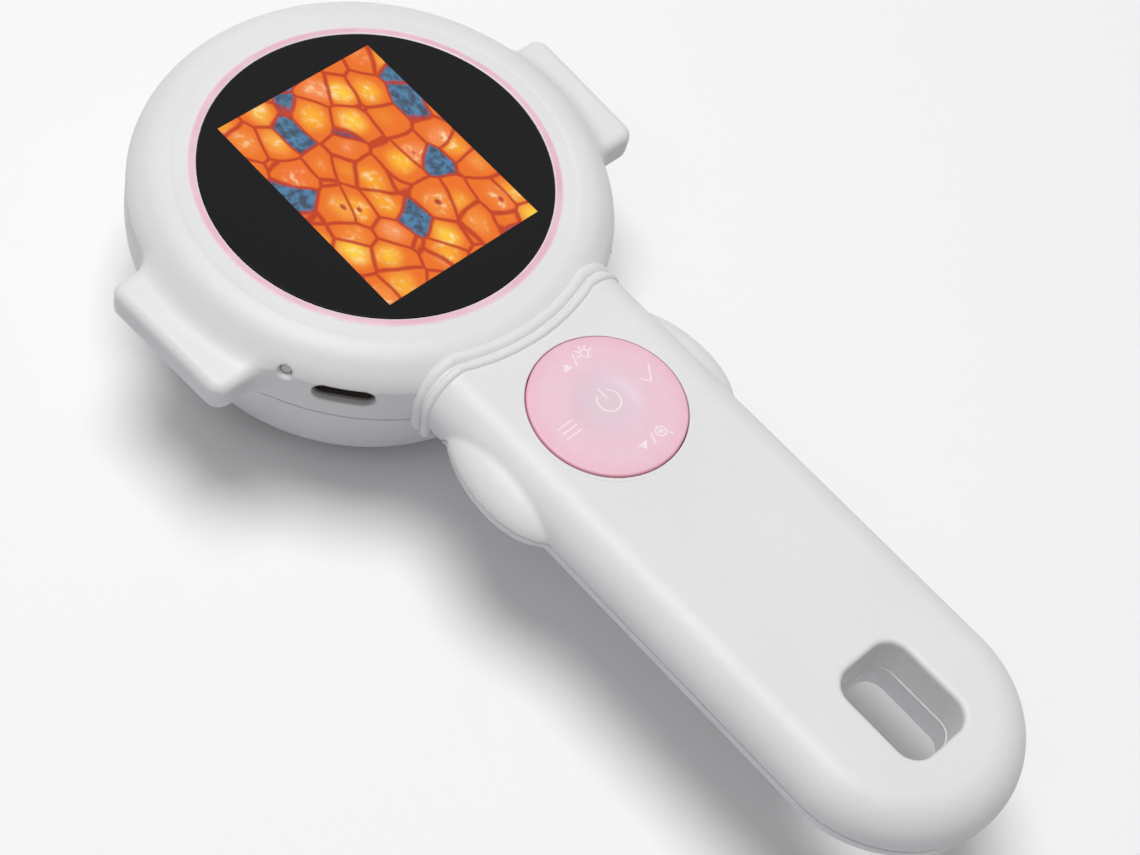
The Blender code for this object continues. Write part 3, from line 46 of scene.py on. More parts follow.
headY = (glassLow.y + glassHigh.y) / 2
glassZ = glassHigh.z
keypadLow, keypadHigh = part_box("keypad_disc")
keypadY = (keypadLow.y + keypadHigh.y) / 2


# numbers on sockets, written as sums

class Value:
    # A shader socket that adds a Math node for each operator.
    def __init__(self, nodes, socket):
        self.nodes = nodes
        self.socket = socket

    def other(self, name):
        return Value(self.nodes, self.socket.node.outputs[name])

    def __add__(self, more):
        return self.nodes.math("ADD", self, more)

    def __sub__(self, less):
        return self.nodes.math("SUBTRACT", self, less)

    def __rsub__(self, whole):
        return self.nodes.math("SUBTRACT", whole, self)

    def __mul__(self, times):
        return self.nodes.math("MULTIPLY", self, times)

    def __pow__(self, power):
        return self.nodes.math("POWER", self, power)

    def __lt__(self, limit):
        return self.nodes.math("LESS_THAN", self, limit)

    def __gt__(self, limit):
        return self.nodes.math("GREATER_THAN", self, limit)

    def __abs__(self):
        return self.nodes.math("ABSOLUTE", self)

    __radd__ = __add__
    __rmul__ = __mul__


class Nodes:
    # A node tree with one shader, and one method for any other node.
    def __init__(self, tree, shader):
        self.tree = tree
        self.shader = tree.nodes[shader]

    def node(self, kind, settings=None, sockets=None, output=0):
        made = self.tree.nodes.new(kind)
        for name, value in (settings or {}).items():
            if name != "stops":
                setattr(made, name, value)
                continue
            elements = made.color_ramp.elements
            while len(elements) < len(value):
                elements.new(0.5)
            for element, (position, color) in zip(elements, value):
                element.position = position
                element.color = (*color, 1.0)
        for name, value in (sockets or {}).items():
            if isinstance(value, Value):
                self.tree.links.new(value.socket, made.inputs[name])
            elif value is not None:
                made.inputs[name].default_value = value
        return Value(self, made.outputs[output])

    def math(self, operation, *numbers):
        return self.node("ShaderNodeMath", {"operation": operation}, dict(enumerate(numbers)))

    def set(self, socket, value):
        if isinstance(value, Value):
            self.tree.links.new(value.socket, self.shader.inputs[socket])
        elif isinstance(value, tuple):
            self.shader.inputs[socket].default_value = (*value, 1.0)
        else:
            self.shader.inputs[socket].default_value = value

    def seen(self):
        # 1 on the rays that look at a background: straight, through glass or off a gloss
        straight = self.node("ShaderNodeLightPath", output="Is Camera Ray")
        both = self.math("MAXIMUM", straight, straight.other("Is Transmission Ray"))
        return self.math("MAXIMUM", both, straight.other("Is Glossy Ray"))


class Paint(Nodes):
    # A material with one Principled shader.
    def __init__(self, name, **looks):
        self.material = bpy.data.materials.new(name)
        self.material.use_nodes = True
        super().__init__(self.material.node_tree, "Principled BSDF")
        self.place = self.node("ShaderNodeTexCoord", output="Object")
        for socket, value in looks.items():
            self.set(socket.replace("_", " "), value)

    def parts(self, vector=None):
        # x, y and z of a place
        x = self.node("ShaderNodeSeparateXYZ", sockets={0: vector or self.place})
        return x, x.other("Y"), x.other("Z")

    def mapped(self, **sockets):
        # the place moved, stretched or turned
        return self.node("ShaderNodeMapping", {"vector_type": "POINT"},
                         {"Vector": self.place, **sockets})

    def around(self, x, y):
        # the place counted from an upright axis
        return self.parts(self.mapped(Location=(-x, -y, 0.0)))

    def distanceFrom(self, x, y):
        across, along, _ = self.around(x, y)
        return (across * across + along * along) ** 0.5

    def noise(self, scale, detail=3.0, roughness=0.5, vector=None):
        return self.node("ShaderNodeTexNoise", sockets={
            "Vector": vector or self.place, "Scale": scale, "Detail": detail,
            "Roughness": roughness})

    def cells(self, scale, feature="F1", distance="EUCLIDEAN", randomness=1.0, vector=None,
              output="Distance"):
        return self.node("ShaderNodeTexVoronoi", {"feature": feature, "distance": distance}, {
            "Vector": vector or self.place, "Scale": scale, "Randomness": randomness}, output)

    def mix(self, factor, first, second):
        first, second = ((*color, 1.0) if isinstance(color, tuple) else color
                         for color in (first, second))
        return self.node("ShaderNodeMix", {"data_type": "RGBA"},
                         {0: factor, 6: first, 7: second}, output=2)

    def rise(self, value, low, high, toLow=0.0, toHigh=1.0):
        # a smooth step up of the value between two limits
        return self.node("ShaderNodeMapRange", {"interpolation_type": "SMOOTHSTEP"},
                         {"Value": value, "From Min": low, "From Max": high,
                          "To Min": toLow, "To Max": toHigh})

    def fall(self, value, low, high):
        return self.rise(value, low, high, 1.0, 0.0)

    def lines(self, value, low, high):
        # 1 halfway between the value's whole numbers, 0 away from there
        return self.fall(abs(self.math("FRACT", value) - 0.5), low, high)

    def bump(self, height, distance, strength, normal=None):
        return self.node("ShaderNodeBump", sockets={
            "Height": height, "Distance": distance, "Strength": strength, "Normal": normal})

    def finish(self, color, rough, bump=None):
        # the colour, the roughness as (noise, span, least) and a fine relief
        self.set("Base Color", color)
        noise, span, least = rough
        self.set("Roughness", noise * span + least)
        if bump:
            self.set("Normal", self.bump(*bump))
        return self


def dimmed(color, share):
    return tuple(part * share for part in color)


# meshes from arrays

def sheetFaces(rows, columns, closeRows=False, closeColumns=True):
    # Quads between neighbouring points of a grid, whose columns may run round.
    row = np.arange(rows if closeRows else rows - 1)
    column = np.arange(columns if closeColumns else columns - 1)
    row, column = np.meshgrid(row, column, indexing="ij")
    nextRow = (row + 1) % rows
    nextColumn = (column + 1) % columns
    return np.stack([row * columns + column, row * columns + nextColumn,
                     nextRow * columns + nextColumn, nextRow * columns + column],
                    axis=-1).reshape(-1, 4)


def signedVolume(points, faces):
    # Six times the volume between the faces and the origin, as a sum over triangles.
    total = 0.0
    for corner in range(1, faces.shape[1] - 1):
        a, b, c = points[faces[:, 0]], points[faces[:, corner]], points[faces[:, corner + 1]]
        total += np.einsum("ij,ij->i", a, np.cross(b, c)).sum()
    return total


def putMesh(name, points, faces, caps=(), normals=None):
    # Faces all have as many corners; caps are triangles that close a pole. All are turned
    # round where they point inwards.
    caps = np.reshape(caps, (-1, 3)).astype(int)
    if signedVolume(points, faces) + signedVolume(points, caps) < 0:
        faces = faces[:, ::-1]
        caps = caps[:, ::-1]
    mesh = bpy.data.meshes.new(name)
    corners = np.concatenate([faces.ravel(), caps.ravel()]).astype(np.int32)
    sizes = np.concatenate([np.full(len(faces), faces.shape[1]), np.full(len(caps), 3)])
    mesh.vertices.add(len(points))
    mesh.vertices.foreach_set("co", points.astype(np.float32).ravel())
    mesh.loops.add(len(corners))
    mesh.loops.foreach_set("vertex_index", corners)
    mesh.polygons.add(len(sizes))
    starts = np.concatenate([[0], np.cumsum(sizes)[:-1]]).astype(np.int32)
    mesh.polygons.foreach_set("loop_start", starts)
    mesh.update(calc_edges=True)
    mesh.validate()
    mesh.shade_smooth()
    if normals is not None:
        mesh.normals_split_custom_set_from_vertices(normals.tolist())
    made = bpy.data.objects.new(name, mesh)
    bpy.context.scene.collection.objects.link(made)
    return made


def finishPiece(piece, body, paint, slot, *replaced):
    piece.data.materials.clear()
    piece.data.materials.append(paint.material)
    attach(piece, body)
    if replaced:
        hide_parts(*replaced)


def roundedProfile(corners, steps=6):
    # Corners are (radius, height, round). Each corner becomes an arc of its round that is
    # tangent to both of its sides.
    points = []
    places = np.array([corner[:2] for corner in corners])
    for before, here, after, (_, _, size) in zip(np.roll(places, 1, axis=0), places,
                                                 np.roll(places, -1, axis=0), corners):
        if size == 0:
            points.append(here[None, :])
            continue
        toBefore = (before - here) / np.linalg.norm(before - here)
        toAfter = (after - here) / np.linalg.norm(after - here)
        half = math.acos(np.clip(toBefore @ toAfter, -1, 1)) / 2
        reach = size / math.tan(half)
        middle = (toBefore + toAfter) / np.linalg.norm(toBefore + toAfter)
        center = here + middle * size / math.sin(half)
        start = here + toBefore * reach - center
        end = here + toAfter * reach - center
        startAngle = math.atan2(start[1], start[0])
        turned = (math.atan2(end[1], end[0]) - startAngle + math.pi) % (2 * math.pi) - math.pi
        angle = startAngle + turned * np.linspace(0, 1, steps + 1)
        points.append(center + size * np.stack([np.cos(angle), np.sin(angle)], axis=1))
    return np.concatenate(points)


def putLoops(name, loops, ends):
    # Loops of as many points each, joined in turn, with a fan from a point at either end.
    rows, columns = loops.shape[:2]
    first = np.arange(columns)
    last = first + (rows - 1) * columns
    top = np.full(columns, rows * columns)
    caps = np.concatenate([np.stack([top, np.roll(first, -1), first], axis=1),
                           np.stack([top + 1, last, np.roll(last, -1)], axis=1)])
    points = np.concatenate([loops.reshape(-1, 3), ends])
    return putMesh(name, points, sheetFaces(rows, columns), caps)


def stackLoops(name, loops, same=1e-7):
    # Ends in the middle of the first and the last loop. A point that repeats the one before
    # it in every loop is left out.
    loops = np.asarray(loops)
    loops = loops[:, np.abs(loops - np.roll(loops, 1, axis=1)).max(axis=(0, 2)) > same]
    return putLoops(name, loops, loops[[0, -1]].mean(axis=1))


def turn(name, profile, segments, middleY=headY, ripple=None):
    # A closed profile of (radius, height over the glass) carried round an upright axis: x is
    # the radius times the cosine of the angle, y the radius times its sine. A ripple is taken
    # off the radius. Where the profile starts and ends on the axis, it gets two poles.
    angle = np.linspace(0, 2 * math.pi, segments, endpoint=False)
    radius = np.repeat(profile[:, :1], segments, axis=1)
    if ripple is not None:
        radius = radius - ripple(profile, angle)
    height = np.repeat(profile[:, 1:] + glassZ, segments, axis=1)
    loops = np.stack([radius * np.cos(angle), middleY + radius * np.sin(angle), height], axis=-1)
    if profile[0, 0] == 0:
        return putLoops(name, loops[1:-1], loops[[0, -1], 0])
    return putMesh(name, loops.reshape(-1, 3), sheetFaces(len(profile), segments, True))


def turnCorners(name, corners, segments, middleY=headY, steps=6, ripple=None):
    # Corners are (radius, depth under the glass, round).
    corners = [(radius, -depth, size) for radius, depth, size in corners]
    return turn(name, roundedProfile(corners, steps), segments, middleY, ripple)


def tube(name, path, radius, sides=24, across=(0.0, 0.0, 1.0)):
    # A circle carried along a path. It stands square to the path: one of its axes is the
    # path's direction crossed with a fixed vector.
    along = np.gradient(path, axis=0)
    along /= np.linalg.norm(along, axis=1, keepdims=True)
    side = np.cross(along, np.asarray(across))
    side /= np.linalg.norm(side, axis=1, keepdims=True)
    up = np.cross(side, along)
    angle = np.linspace(0, 2 * math.pi, sides, endpoint=False)
    ring = (np.cos(angle)[None, :, None] * side[:, None, :]
            + np.sin(angle)[None, :, None] * up[:, None, :])
    return putLoops(name, path[:, None, :] + radius * ring, path[[0, -1]])


# the casing: distances to its shapes, joined with soft creases

casing = {
    "headRadius": 0.0387, "headDepth": 0.0315, "headWall": 0.0018, "headFloor": 0.0295,
    "rimRadius": 0.0314, "rimDrop": 0.0004, "shoulderDrop": 0.0070, "splitDrop": 0.0122,
    "rearStep": 0.0003, "footRadius": 0.0329, "footDrop": 0.0285, "footRound": 0.0032,
    "stepRadius": 0.0317, "stepWidth": 0.00045, "stepHeight": 0.00014, "stepLevel": -0.0016,
    "stepFade": 0.0008, "rearOpening": 0.0224,
    "ringSeat": 0.0289, "ringEdge": 0.00010, "ledgeRadius": 0.0260, "ledgeTop": 0.0019,
    "ledgeBottom": 0.0029,
    "handleReach": 0.1145, "handleHalf": 0.0200, "handleTop": 0.0014, "handleTopRound": 0.0062,
    "handleBottom": 0.0136, "handleBottomRound": 0.0053, "handleSplit": 0.0080,
    "handleWall": 0.0017, "handleFloor": 0.0122, "handleRoot": 0.0290,
    "slopeStart": 0.0372, "slopeEnd": 0.0412, "splitLap": 0.00001, "headSplitEdge": 0.0005,
    "handleSplitEdge": 0.00002, "sharpFrom": 0.0400, "sharpOver": 0.0060,
    "holeMiddle": 0.1143, "holeHalfLength": 0.0079, "holeHalfWidth": 0.0059,
    "holeCorner": 0.0031, "holeDraft": 0.08, "holeShift": 0.0003, "holeStep": 0.00013,
    "holeWall": 0.0018, "holeLip": 0.0009,
    "earReach": 0.0446, "earRoot": 0.0333, "earTaper": 0.0010, "earFar": 0.0092,
    "earNear": 0.0156, "earTop": 0.0052, "earThick": 0.0062, "earCorner": 0.0024,
    "earRound": 0.0017, "earUnder": 0.0019, "earFillet": 0.0027,
    "wingMiddle": 0.0173, "wingY": 0.0511, "wingDrop": 0.0084,
    "wingHalf": (0.0062, 0.0125, 0.0047), "wingTaper": 0.16, "wingCrease": 0.0005,
    "keypadHole": 0.01285, "edge": 0.00035,
    # mouths: angle, half width, half height, depth under the glass, lip
    "mouths": ((222.7, 0.0048, 0.0019, 0.0070, 0.0004), (317.3, 0.0058, 0.0007, 0.00755, 0.0005),
               (208.8, 0.00105, 0.00105, 0.0050, 0.0007)),
    "bossPitch": 0.0282, "bossAngles": (25.0, 155.0, 195.0, 345.0), "bossRadius": 0.0029,
    "bossSeat": 0.0175, "bossBlind": 0.0060, "bore": 0.0012, "seatRadius": 0.0021,
    "handleBosses": (0.1016, 0.1283), "handleBossRadius": 0.0026, "handleBossSeat": 0.0108,
    "handleBossBlind": 0.0050,
    "standoffPitch": 0.0300, "standoffRadius": 0.0022, "standoffEnds": (0.0086, 0.0104),
}


def softMin(first, second, width):
    # The lesser of two distances, rounded where they are within a width of each other:
    # a square of the overlap, a quarter of the width at most, is taken off.
    near = np.maximum(width - np.abs(first - second), 0) / width
    return np.minimum(first, second) - near * near * width / 4


def softMax(first, second, width):
    return -softMin(-first, -second, width)


def ease(t):
    # A smooth step from 0 to 1: 3 t^2 - 2 t^3.
    t = np.clip(t, 0, 1)
    return t * t * (3 - 2 * t)


def roundedCorner(side, face, size):
    # Distance to a corner between two flat sides whose edge is an arc: the length of what
    # both sides, moved in by the arc's radius, stand out, less the radius.
    u = side + size
    v = face + size
    return np.hypot(np.maximum(u, 0), np.maximum(v, 0)) + np.minimum(np.maximum(u, v), 0) - size


def roundedRectangle(x, y, halfWidth, halfLength, corner):
    return roundedCorner(np.abs(x) - halfWidth, np.abs(y) - halfLength, corner)


def headForm(r, z, c, wall, top, bottom, foot):
    # A quarter ellipse turned round the axis, and a cone with a rounded foot, both a wall in
    # from the head's outside.
    width = c["headRadius"] - c["rimRadius"] - wall
    depth = c["shoulderDrop"] - top
    u = np.maximum(r - c["rimRadius"], 0) / width
    v = np.maximum(z + c["shoulderDrop"], 0) / depth
    e = np.maximum(np.hypot(u, v), 1e-6)
    dome = (e - 1) * np.hypot(u * width, v * depth) / e
    flat = np.maximum(r - c["headRadius"] + wall, z + top)
    dome = np.where((u == 0) & (v == 0), flat, dome)
    rearRadius = c["headRadius"] - c["rearStep"]
    slope = (rearRadius - c["footRadius"]) / (c["footDrop"] - c["splitDrop"])
    drop = np.maximum(-z - c["splitDrop"], 0)
    cone = (r - (rearRadius - wall) + slope * drop) / math.hypot(1, slope)
    return dome, roundedCorner(cone, -z - bottom, foot)


def headShape(r, z, c):
    # Dome and cone with straight walls between them. Outside the rim the dome stands up by a
    # low smooth step.
    dome, rear = headForm(r, z, c, 0, c["rimDrop"], c["headDepth"], c["footRound"])
    outside = ease((r - c["stepRadius"]) / (2 * c["stepWidth"]) + 0.5)
    above = ease((z - c["stepLevel"]) / (2 * c["stepFade"]) + 0.5)
    dome = dome - c["stepHeight"] * outside * above
    rearRadius = c["headRadius"] - c["rearStep"]
    wall = r - np.where(-z - c["splitDrop"] > 0, rearRadius, c["headRadius"])
    return np.maximum(np.maximum(dome, wall), rear)


def handleForm(x, y, z, c, wall, bottom):
    # A straight strip with a half-round end and rounded edges, a wall in from the handle's
    # outside.
    beyond = np.maximum(-y - c["handleReach"], 0)
    across = np.maximum(np.hypot(x, beyond) - (c["handleHalf"] - wall), y + c["handleRoot"])
    upper = roundedCorner(across, z + c["handleTop"] + wall, c["handleTopRound"] - wall)
    lower = roundedCorner(across, -z - bottom, c["handleBottomRound"] - wall)
    return np.maximum(upper, lower)


def holeAcross(x, y, c, shift=0.0):
    return roundedRectangle(x - shift, y + c["holeMiddle"], c["holeHalfWidth"],
                            c["holeHalfLength"], c["holeCorner"])


def earShape(x, y, z, c):
    # A rounded slab on each side, whose outer face leans in a little towards the handle.
    middle = (c["earFar"] - c["earNear"]) / 2
    halfLength = (c["earFar"] + c["earNear"]) / 2
    lean = c["earTaper"] * np.clip((c["earFar"] - y) / (2 * halfLength), 0, 1)
    halfWidth = (c["earReach"] - c["earRoot"]) / 2
    across = roundedRectangle(np.abs(x) + lean - c["earRoot"] - halfWidth, y - middle, halfWidth,
                              halfLength, c["earCorner"])
    upper = roundedCorner(across, z + c["earTop"], c["earRound"])
    lower = roundedCorner(across, -z - c["earTop"] - c["earThick"], c["earUnder"])
    return np.maximum(upper, lower)


def wingShape(x, y, z, c):
    # An ellipsoid's distance, near its surface: k (k - 1) / g, where k is the length of the
    # place over the half axes and g that of the place over their squares. It is narrower
    # towards the head.
    halfX, halfY, halfZ = c["wingHalf"]
    py = y + c["wingY"]
    px = (np.abs(x) - c["wingMiddle"]) / (1 - c["wingTaper"] * np.clip(py / halfY, -1, 1))
    pz = z + c["wingDrop"]
    k = np.sqrt((px / halfX) ** 2 + (py / halfY) ** 2 + (pz / halfZ) ** 2)
    g = np.sqrt((px / halfX ** 2) ** 2 + (py / halfY ** 2) ** 2 + (pz / halfZ ** 2) ** 2)
    return k * (k - 1) / np.maximum(g, 1e-6)


def outsideOf(x, y, z, c):
    # Head, handle, ears and side bulges joined.
    body = softMin(headShape(np.hypot(x, y), z, c), earShape(x, y, z, c), c["earFillet"])
    body = softMin(body, handleForm(x, y, z, c, 0, c["handleBottom"]), c["edge"])
    return softMin(body, wingShape(x, y, z, c), c["wingCrease"])


def mouthShape(x, y, z, mouth, c):
    # A slot with round ends, cut square to the head's wall at an angle round the axis.
    angleDeg, halfWidth, halfHeight, drop, _ = mouth
    angle = math.radians(angleDeg)
    out = x * math.cos(angle) + y * math.sin(angle)
    across = y * math.cos(angle) - x * math.sin(angle)
    reach = np.maximum(np.abs(across) - (halfWidth - halfHeight), 0)
    slot = np.hypot(reach, z + drop) - halfHeight
    return np.maximum(slot, c["headRadius"] - 3 * c["headWall"] - out)


def pillar(x, y, z, place, radius, top, bottom):
    side = np.hypot(x - place[0], y - place[1]) - radius
    return np.maximum(side, np.maximum(z + top, -z - bottom))


def headPlaces(pitch, anglesDeg):
    return [(pitch * math.cos(math.radians(angle)), pitch * math.sin(math.radians(angle)))
            for angle in anglesDeg]


def screwBosses(c):
    # Each boss: its place and radius, the seat of its screw and the blind end of its bore.
    bosses = [(place, c["bossRadius"], c["bossSeat"], c["bossBlind"])
              for place in headPlaces(c["bossPitch"], c["bossAngles"])]
    return bosses + [((0.0, -reach), c["handleBossRadius"], c["handleBossSeat"],
                      c["handleBossBlind"]) for reach in c["handleBosses"]]


def hollowShell(x, y, z, c, standoffTop, standoffBottom):
    # The outside less the rooms in head and handle, which leave the hanging hole's wall, the
    # bosses and the standoffs. Pillars that run through end a metre away.
    head = headForm(np.hypot(x, y), z, c, c["headWall"], c["ledgeBottom"], c["headFloor"],
                    c["headWall"])
    handle = handleForm(x, y, z, c, c["handleWall"], c["handleFloor"])
    handle = np.maximum(handle, c["holeWall"] - holeAcross(x, y, c))
    room = np.minimum(np.maximum(*head), handle)
    for place, radius, _, _ in screwBosses(c):
        room = np.maximum(room, -pillar(x, y, z, place, radius, 0, 1))
    for place in headPlaces(c["standoffPitch"], (0, 90, 180, 270)):
        room = np.maximum(room, -pillar(x, y, z, place, c["standoffRadius"], standoffTop,
                                        standoffBottom))
    return softMax(outsideOf(x, y, z, c), -room, c["edge"])


def partingHeight(y, c):
    share = ease((-y - c["slopeStart"]) / (c["slopeEnd"] - c["slopeStart"]))
    return -c["splitDrop"] + (c["splitDrop"] - c["handleSplit"]) * share


def frontShell(x, y, z, c):
    # Less the trim ring's seat and ledge, the keypad's hole, the hanging hole with its draft,
    # the mouths and the bores. The rim is rounded round the head and sharp along the handle.
    r, edge = np.hypot(x, y), c["edge"]
    shell = hollowShell(x, y, z, c, 0, c["standoffEnds"][0])
    pocket = np.minimum(np.maximum(r - c["ringSeat"], -z - c["ledgeTop"]),
                        np.maximum(r - c["ledgeRadius"], -z - c["ledgeBottom"] - edge))
    shell = softMax(shell, -pocket, c["ringEdge"])
    keypadFloor = c["handleTop"] + c["handleWall"] + edge
    keypad = pillar(x, y, z, (0, keypadY - headY), c["keypadHole"], -1, keypadFloor)
    shell = softMax(shell, -keypad, edge)
    widening = c["holeDraft"] * np.maximum(z + c["handleSplit"], 0)
    shell = softMax(shell, widening - holeAcross(x, y, c, c["holeShift"]), c["holeLip"])
    for mouth in c["mouths"]:
        shell = softMax(shell, -mouthShape(x, y, z, mouth, c), mouth[-1])
    for place, _, _, blind in screwBosses(c):
        shell = np.maximum(shell, -pillar(x, y, z, place, c["bore"], blind, 1))
    share = np.clip((y + c["sharpFrom"]) / c["sharpOver"], 0, 1)
    rim = c["handleSplitEdge"] + (c["headSplitEdge"] - c["handleSplitEdge"]) * share
    return softMax(shell, partingHeight(y, c) - c["splitLap"] - z, rim)


def rearShell(x, y, z, c):
    # Less the opening for the optics, the hanging hole, and the bores with their seats.
    edge = c["edge"]
    shell = hollowShell(x, y, z, c, c["standoffEnds"][1], 1)
    shell = softMax(shell, -(np.hypot(x, y) - c["rearOpening"]), edge)
    hole = holeAcross(x, y, c, c["holeShift"]) + c["holeStep"]
    shell = softMax(shell, -hole, c["holeLip"])
    for place, _, seat, _ in screwBosses(c):
        shell = np.maximum(shell, -pillar(x, y, z, place, c["bore"], 0, 1))
        shell = softMax(shell, -pillar(x, y, z, place, c["seatRadius"], seat, 1), edge)
    return softMax(shell, z - partingHeight(y, c) - c["splitLap"], c["handleSplitEdge"])


def steps(*stretches):
    # Grid lines whose spacing changes from stretch to stretch: (start, end, spacing).
    lines = [np.linspace(start, end, max(2, round((end - start) / spacing)), endpoint=False)
             for start, end, spacing in stretches]
    return np.concatenate(lines + [[stretches[-1][1]]])


def crossings(field, axis, lines):
    # Where the field changes sign along one axis, and the place of each change.
    lower = np.take(field, range(field.shape[axis] - 1), axis)
    upper = np.take(field, range(1, field.shape[axis]), axis)
    changes = (lower < 0) != (upper < 0)
    share = np.where(changes, lower / np.where(changes, lower - upper, 1), 0)
    shape = [1, 1, 1]
    shape[axis] = -1
    spans = np.diff(lines).reshape(shape)
    return changes, lines[:-1].reshape(shape) + share * spans


def netSurface(field, lines):
    # One point in each cell that the surface passes through, at the mean of its edges'
    # crossings, and one quad across each crossed edge that joins the four cells round it.
    cells = tuple(size - 1 for size in field.shape)
    total = np.zeros(cells + (3,))
    count = np.zeros(cells)
    edges = []
    for axis in range(3):
        changes, along = crossings(field, axis, lines[axis])
        edges.append(changes)
        others = [other for other in range(3) if other != axis]
        for first in (0, 1):
            for second in (0, 1):
                window = [slice(None)] * 3
                window[others[0]] = slice(first, first + cells[others[0]])
                window[others[1]] = slice(second, second + cells[others[1]])
                crossed = changes[tuple(window)]
                count += crossed
                total[..., axis] += np.where(crossed, along[tuple(window)], 0)
                for other, shift in zip(others, (first, second)):
                    shape = [1, 1, 1]
                    shape[other] = -1
                    place = lines[other][shift:shift + cells[other]].reshape(shape)
                    total[..., other] += crossed * place
    used = count > 0
    points = total[used] / count[used][:, None]
    index = np.full(cells, -1)
    index[used] = np.arange(len(points))
    faces = []
    for axis, changes in enumerate(edges):
        others = [(axis + 1) % 3, (axis + 2) % 3]
        window = [slice(None)] * 3
        for other in others:
            window[other] = slice(1, -1)
        where = np.argwhere(changes[tuple(window)])
        where[:, others] += 1
        falls = field[tuple(where.T)] > 0
        corners = []
        for first, second in ((-1, -1), (0, -1), (0, 0), (-1, 0)):
            cell = where.copy()
            cell[:, others[0]] += first
            cell[:, others[1]] += second
            corners.append(index[tuple(cell.T)])
        quads = np.stack(corners, axis=1)
        quads[falls] = quads[falls][:, ::-1]
        faces.append(quads)
    return points, np.concatenate(faces)

net = {"rounds": 3, "step": 2e-5, "leastSlope": 0.2, "longestMove": 0.0002}


def slopes(shape, points, c):
    # The gradient of the distance, from its change over a small step each way.
    slope = np.empty_like(points)
    for axis in range(3):
        ahead = points.copy()
        behind = points.copy()
        ahead[:, axis] += net["step"]
        behind[:, axis] -= net["step"]
        slope[:, axis] = (shape(*ahead.T, c) - shape(*behind.T, c)) / (2 * net["step"])
    return slope


def makeShell(name, shape, lines, c):
    # The net's points are moved onto the surface, down the slope, in a few rounds.
    points, faces = netSurface(shape(*np.meshgrid(*lines, indexing="ij"), c), lines)
    for _ in range(net["rounds"]):
        slope = slopes(shape, points, c)
        size = np.maximum((slope ** 2).sum(axis=1), net["leastSlope"])
        move = -(shape(*points.T, c) / size)[:, None] * slope
        length = np.maximum(np.linalg.norm(move, axis=1, keepdims=True), 1e-12)
        points = points + move * np.minimum(1, net["longestMove"] / length)
    normals = slopes(shape, points, c)
    normals /= np.maximum(np.linalg.norm(normals, axis=1, keepdims=True), 1e-9)
    piece = putMesh(name, points + np.array([0.0, headY, glassZ]), faces, normals=normals)
    print(name, len(points), "points,", len(faces), "faces")
    return piece


frontLines = (
    steps((-0.0462, -0.0365, 0.00060), (-0.0365, -0.0240, 0.00035), (-0.0240, 0.0240, 0.00066),
          (0.0240, 0.0335, 0.00045), (0.0335, 0.0462, 0.00058)),
    steps((-0.1360, -0.1040, 0.00058), (-0.1040, -0.0670, 0.0012), (-0.0670, -0.0400, 0.00064),
          (-0.0400, -0.0320, 0.00058), (-0.0320, -0.0150, 0.00037), (-0.0150, 0.0400, 0.00066)),
    steps((-0.0130, -0.01225, 0.00030), (-0.01225, -0.01215, 0.00005),
          (-0.01215, -0.0092, 0.00045), (-0.0092, -0.00805, 0.00030),
          (-0.00805, -0.00795, 0.00005), (-0.00795, -0.0036, 0.00030),
          (-0.0036, 0.0006, 0.00042)))
rearLines = (
    steps((-0.0462, 0.0462, 0.00054)),
    steps((-0.1360, -0.1040, 0.00055), (-0.1040, -0.0670, 0.0012), (-0.0670, -0.0400, 0.00060),
          (-0.0400, 0.0400, 0.00052)),
    steps((-0.0325, -0.0140, 0.00070), (-0.0140, -0.01225, 0.00045),
          (-0.01225, -0.01215, 0.00005), (-0.01215, -0.00805, 0.00045),
          (-0.00805, -0.00795, 0.00005), (-0.00795, -0.0074, 0.00020)))


# casing finish: satin plastic with a fine moulded grain

plastic = {
    "white": (0.800, 0.797, 0.802), "shade": (0.770, 0.767, 0.773),
    "roughness": (0.40, 0.50), "cloudScale": 38.0, "speckleScale": 900.0, "sheenScale": 240.0,
    "grainScale": 3200.0, "grainHeight": 0.000006,
    "lineHalf": 0.00010, "lineDepth": 0.00005, "lineStart": 0.0660,
}


def partingLine(paint):
    # A fine line where the shells meet along the handle: 1 on it, 0 away from it.
    _, y, z = paint.parts()
    level = paint.rise(y, headY - casing["slopeEnd"], headY - casing["slopeStart"],
                       glassZ - casing["handleSplit"], glassZ - casing["splitDrop"])
    half = plastic["lineHalf"]
    return paint.fall(abs(z - level), half * 0.4, half * 1.6) * (y < headY - plastic["lineStart"])


def plasticPaint():
    paint = Paint("whitePlastic", Specular_IOR_Level=0.45, IOR=1.47)
    clouds = paint.noise(plastic["cloudScale"], 2.0) * 0.75
    speckle = paint.noise(plastic["speckleScale"], 2.0, 0.6) * 0.25
    shade = paint.rise(clouds + speckle, 0.35, 0.65)
    low, high = plastic["roughness"]
    grain = paint.bump(paint.noise(plastic["grainScale"], 2.0), plastic["grainHeight"], 0.5)
    return paint.finish(paint.mix(shade, plastic["shade"], plastic["white"]),
                        (paint.noise(plastic["sheenScale"], 3.0, 0.6), high - low, low),
                        (1 - partingLine(paint), plastic["lineDepth"], 0.7, grain))


print("casing")
whitePlastic = plasticPaint()
finishPiece(makeShell("front_casing", frontShell, frontLines, casing), "casing", whitePlastic,
            "shell", "front_shell")
finishPiece(makeShell("rear_casing", rearShell, rearLines, casing), "casing", whitePlastic,
            "shell", "rear_shell")


# neck collar: two beads, laid over the neck from side to side

collar = {"radii": (0.0354, 0.0373), "thick": (0.0012, 0.0008), "proud": (0.0006, 0.0005),
          "proudSide": 0.0006, "turn": 0.0133, "turnHalf": 0.0008, "sweep": 0.0012,
          "end": 0.0116, "tuck": 0.0026, "tuckDrop": 0.4}


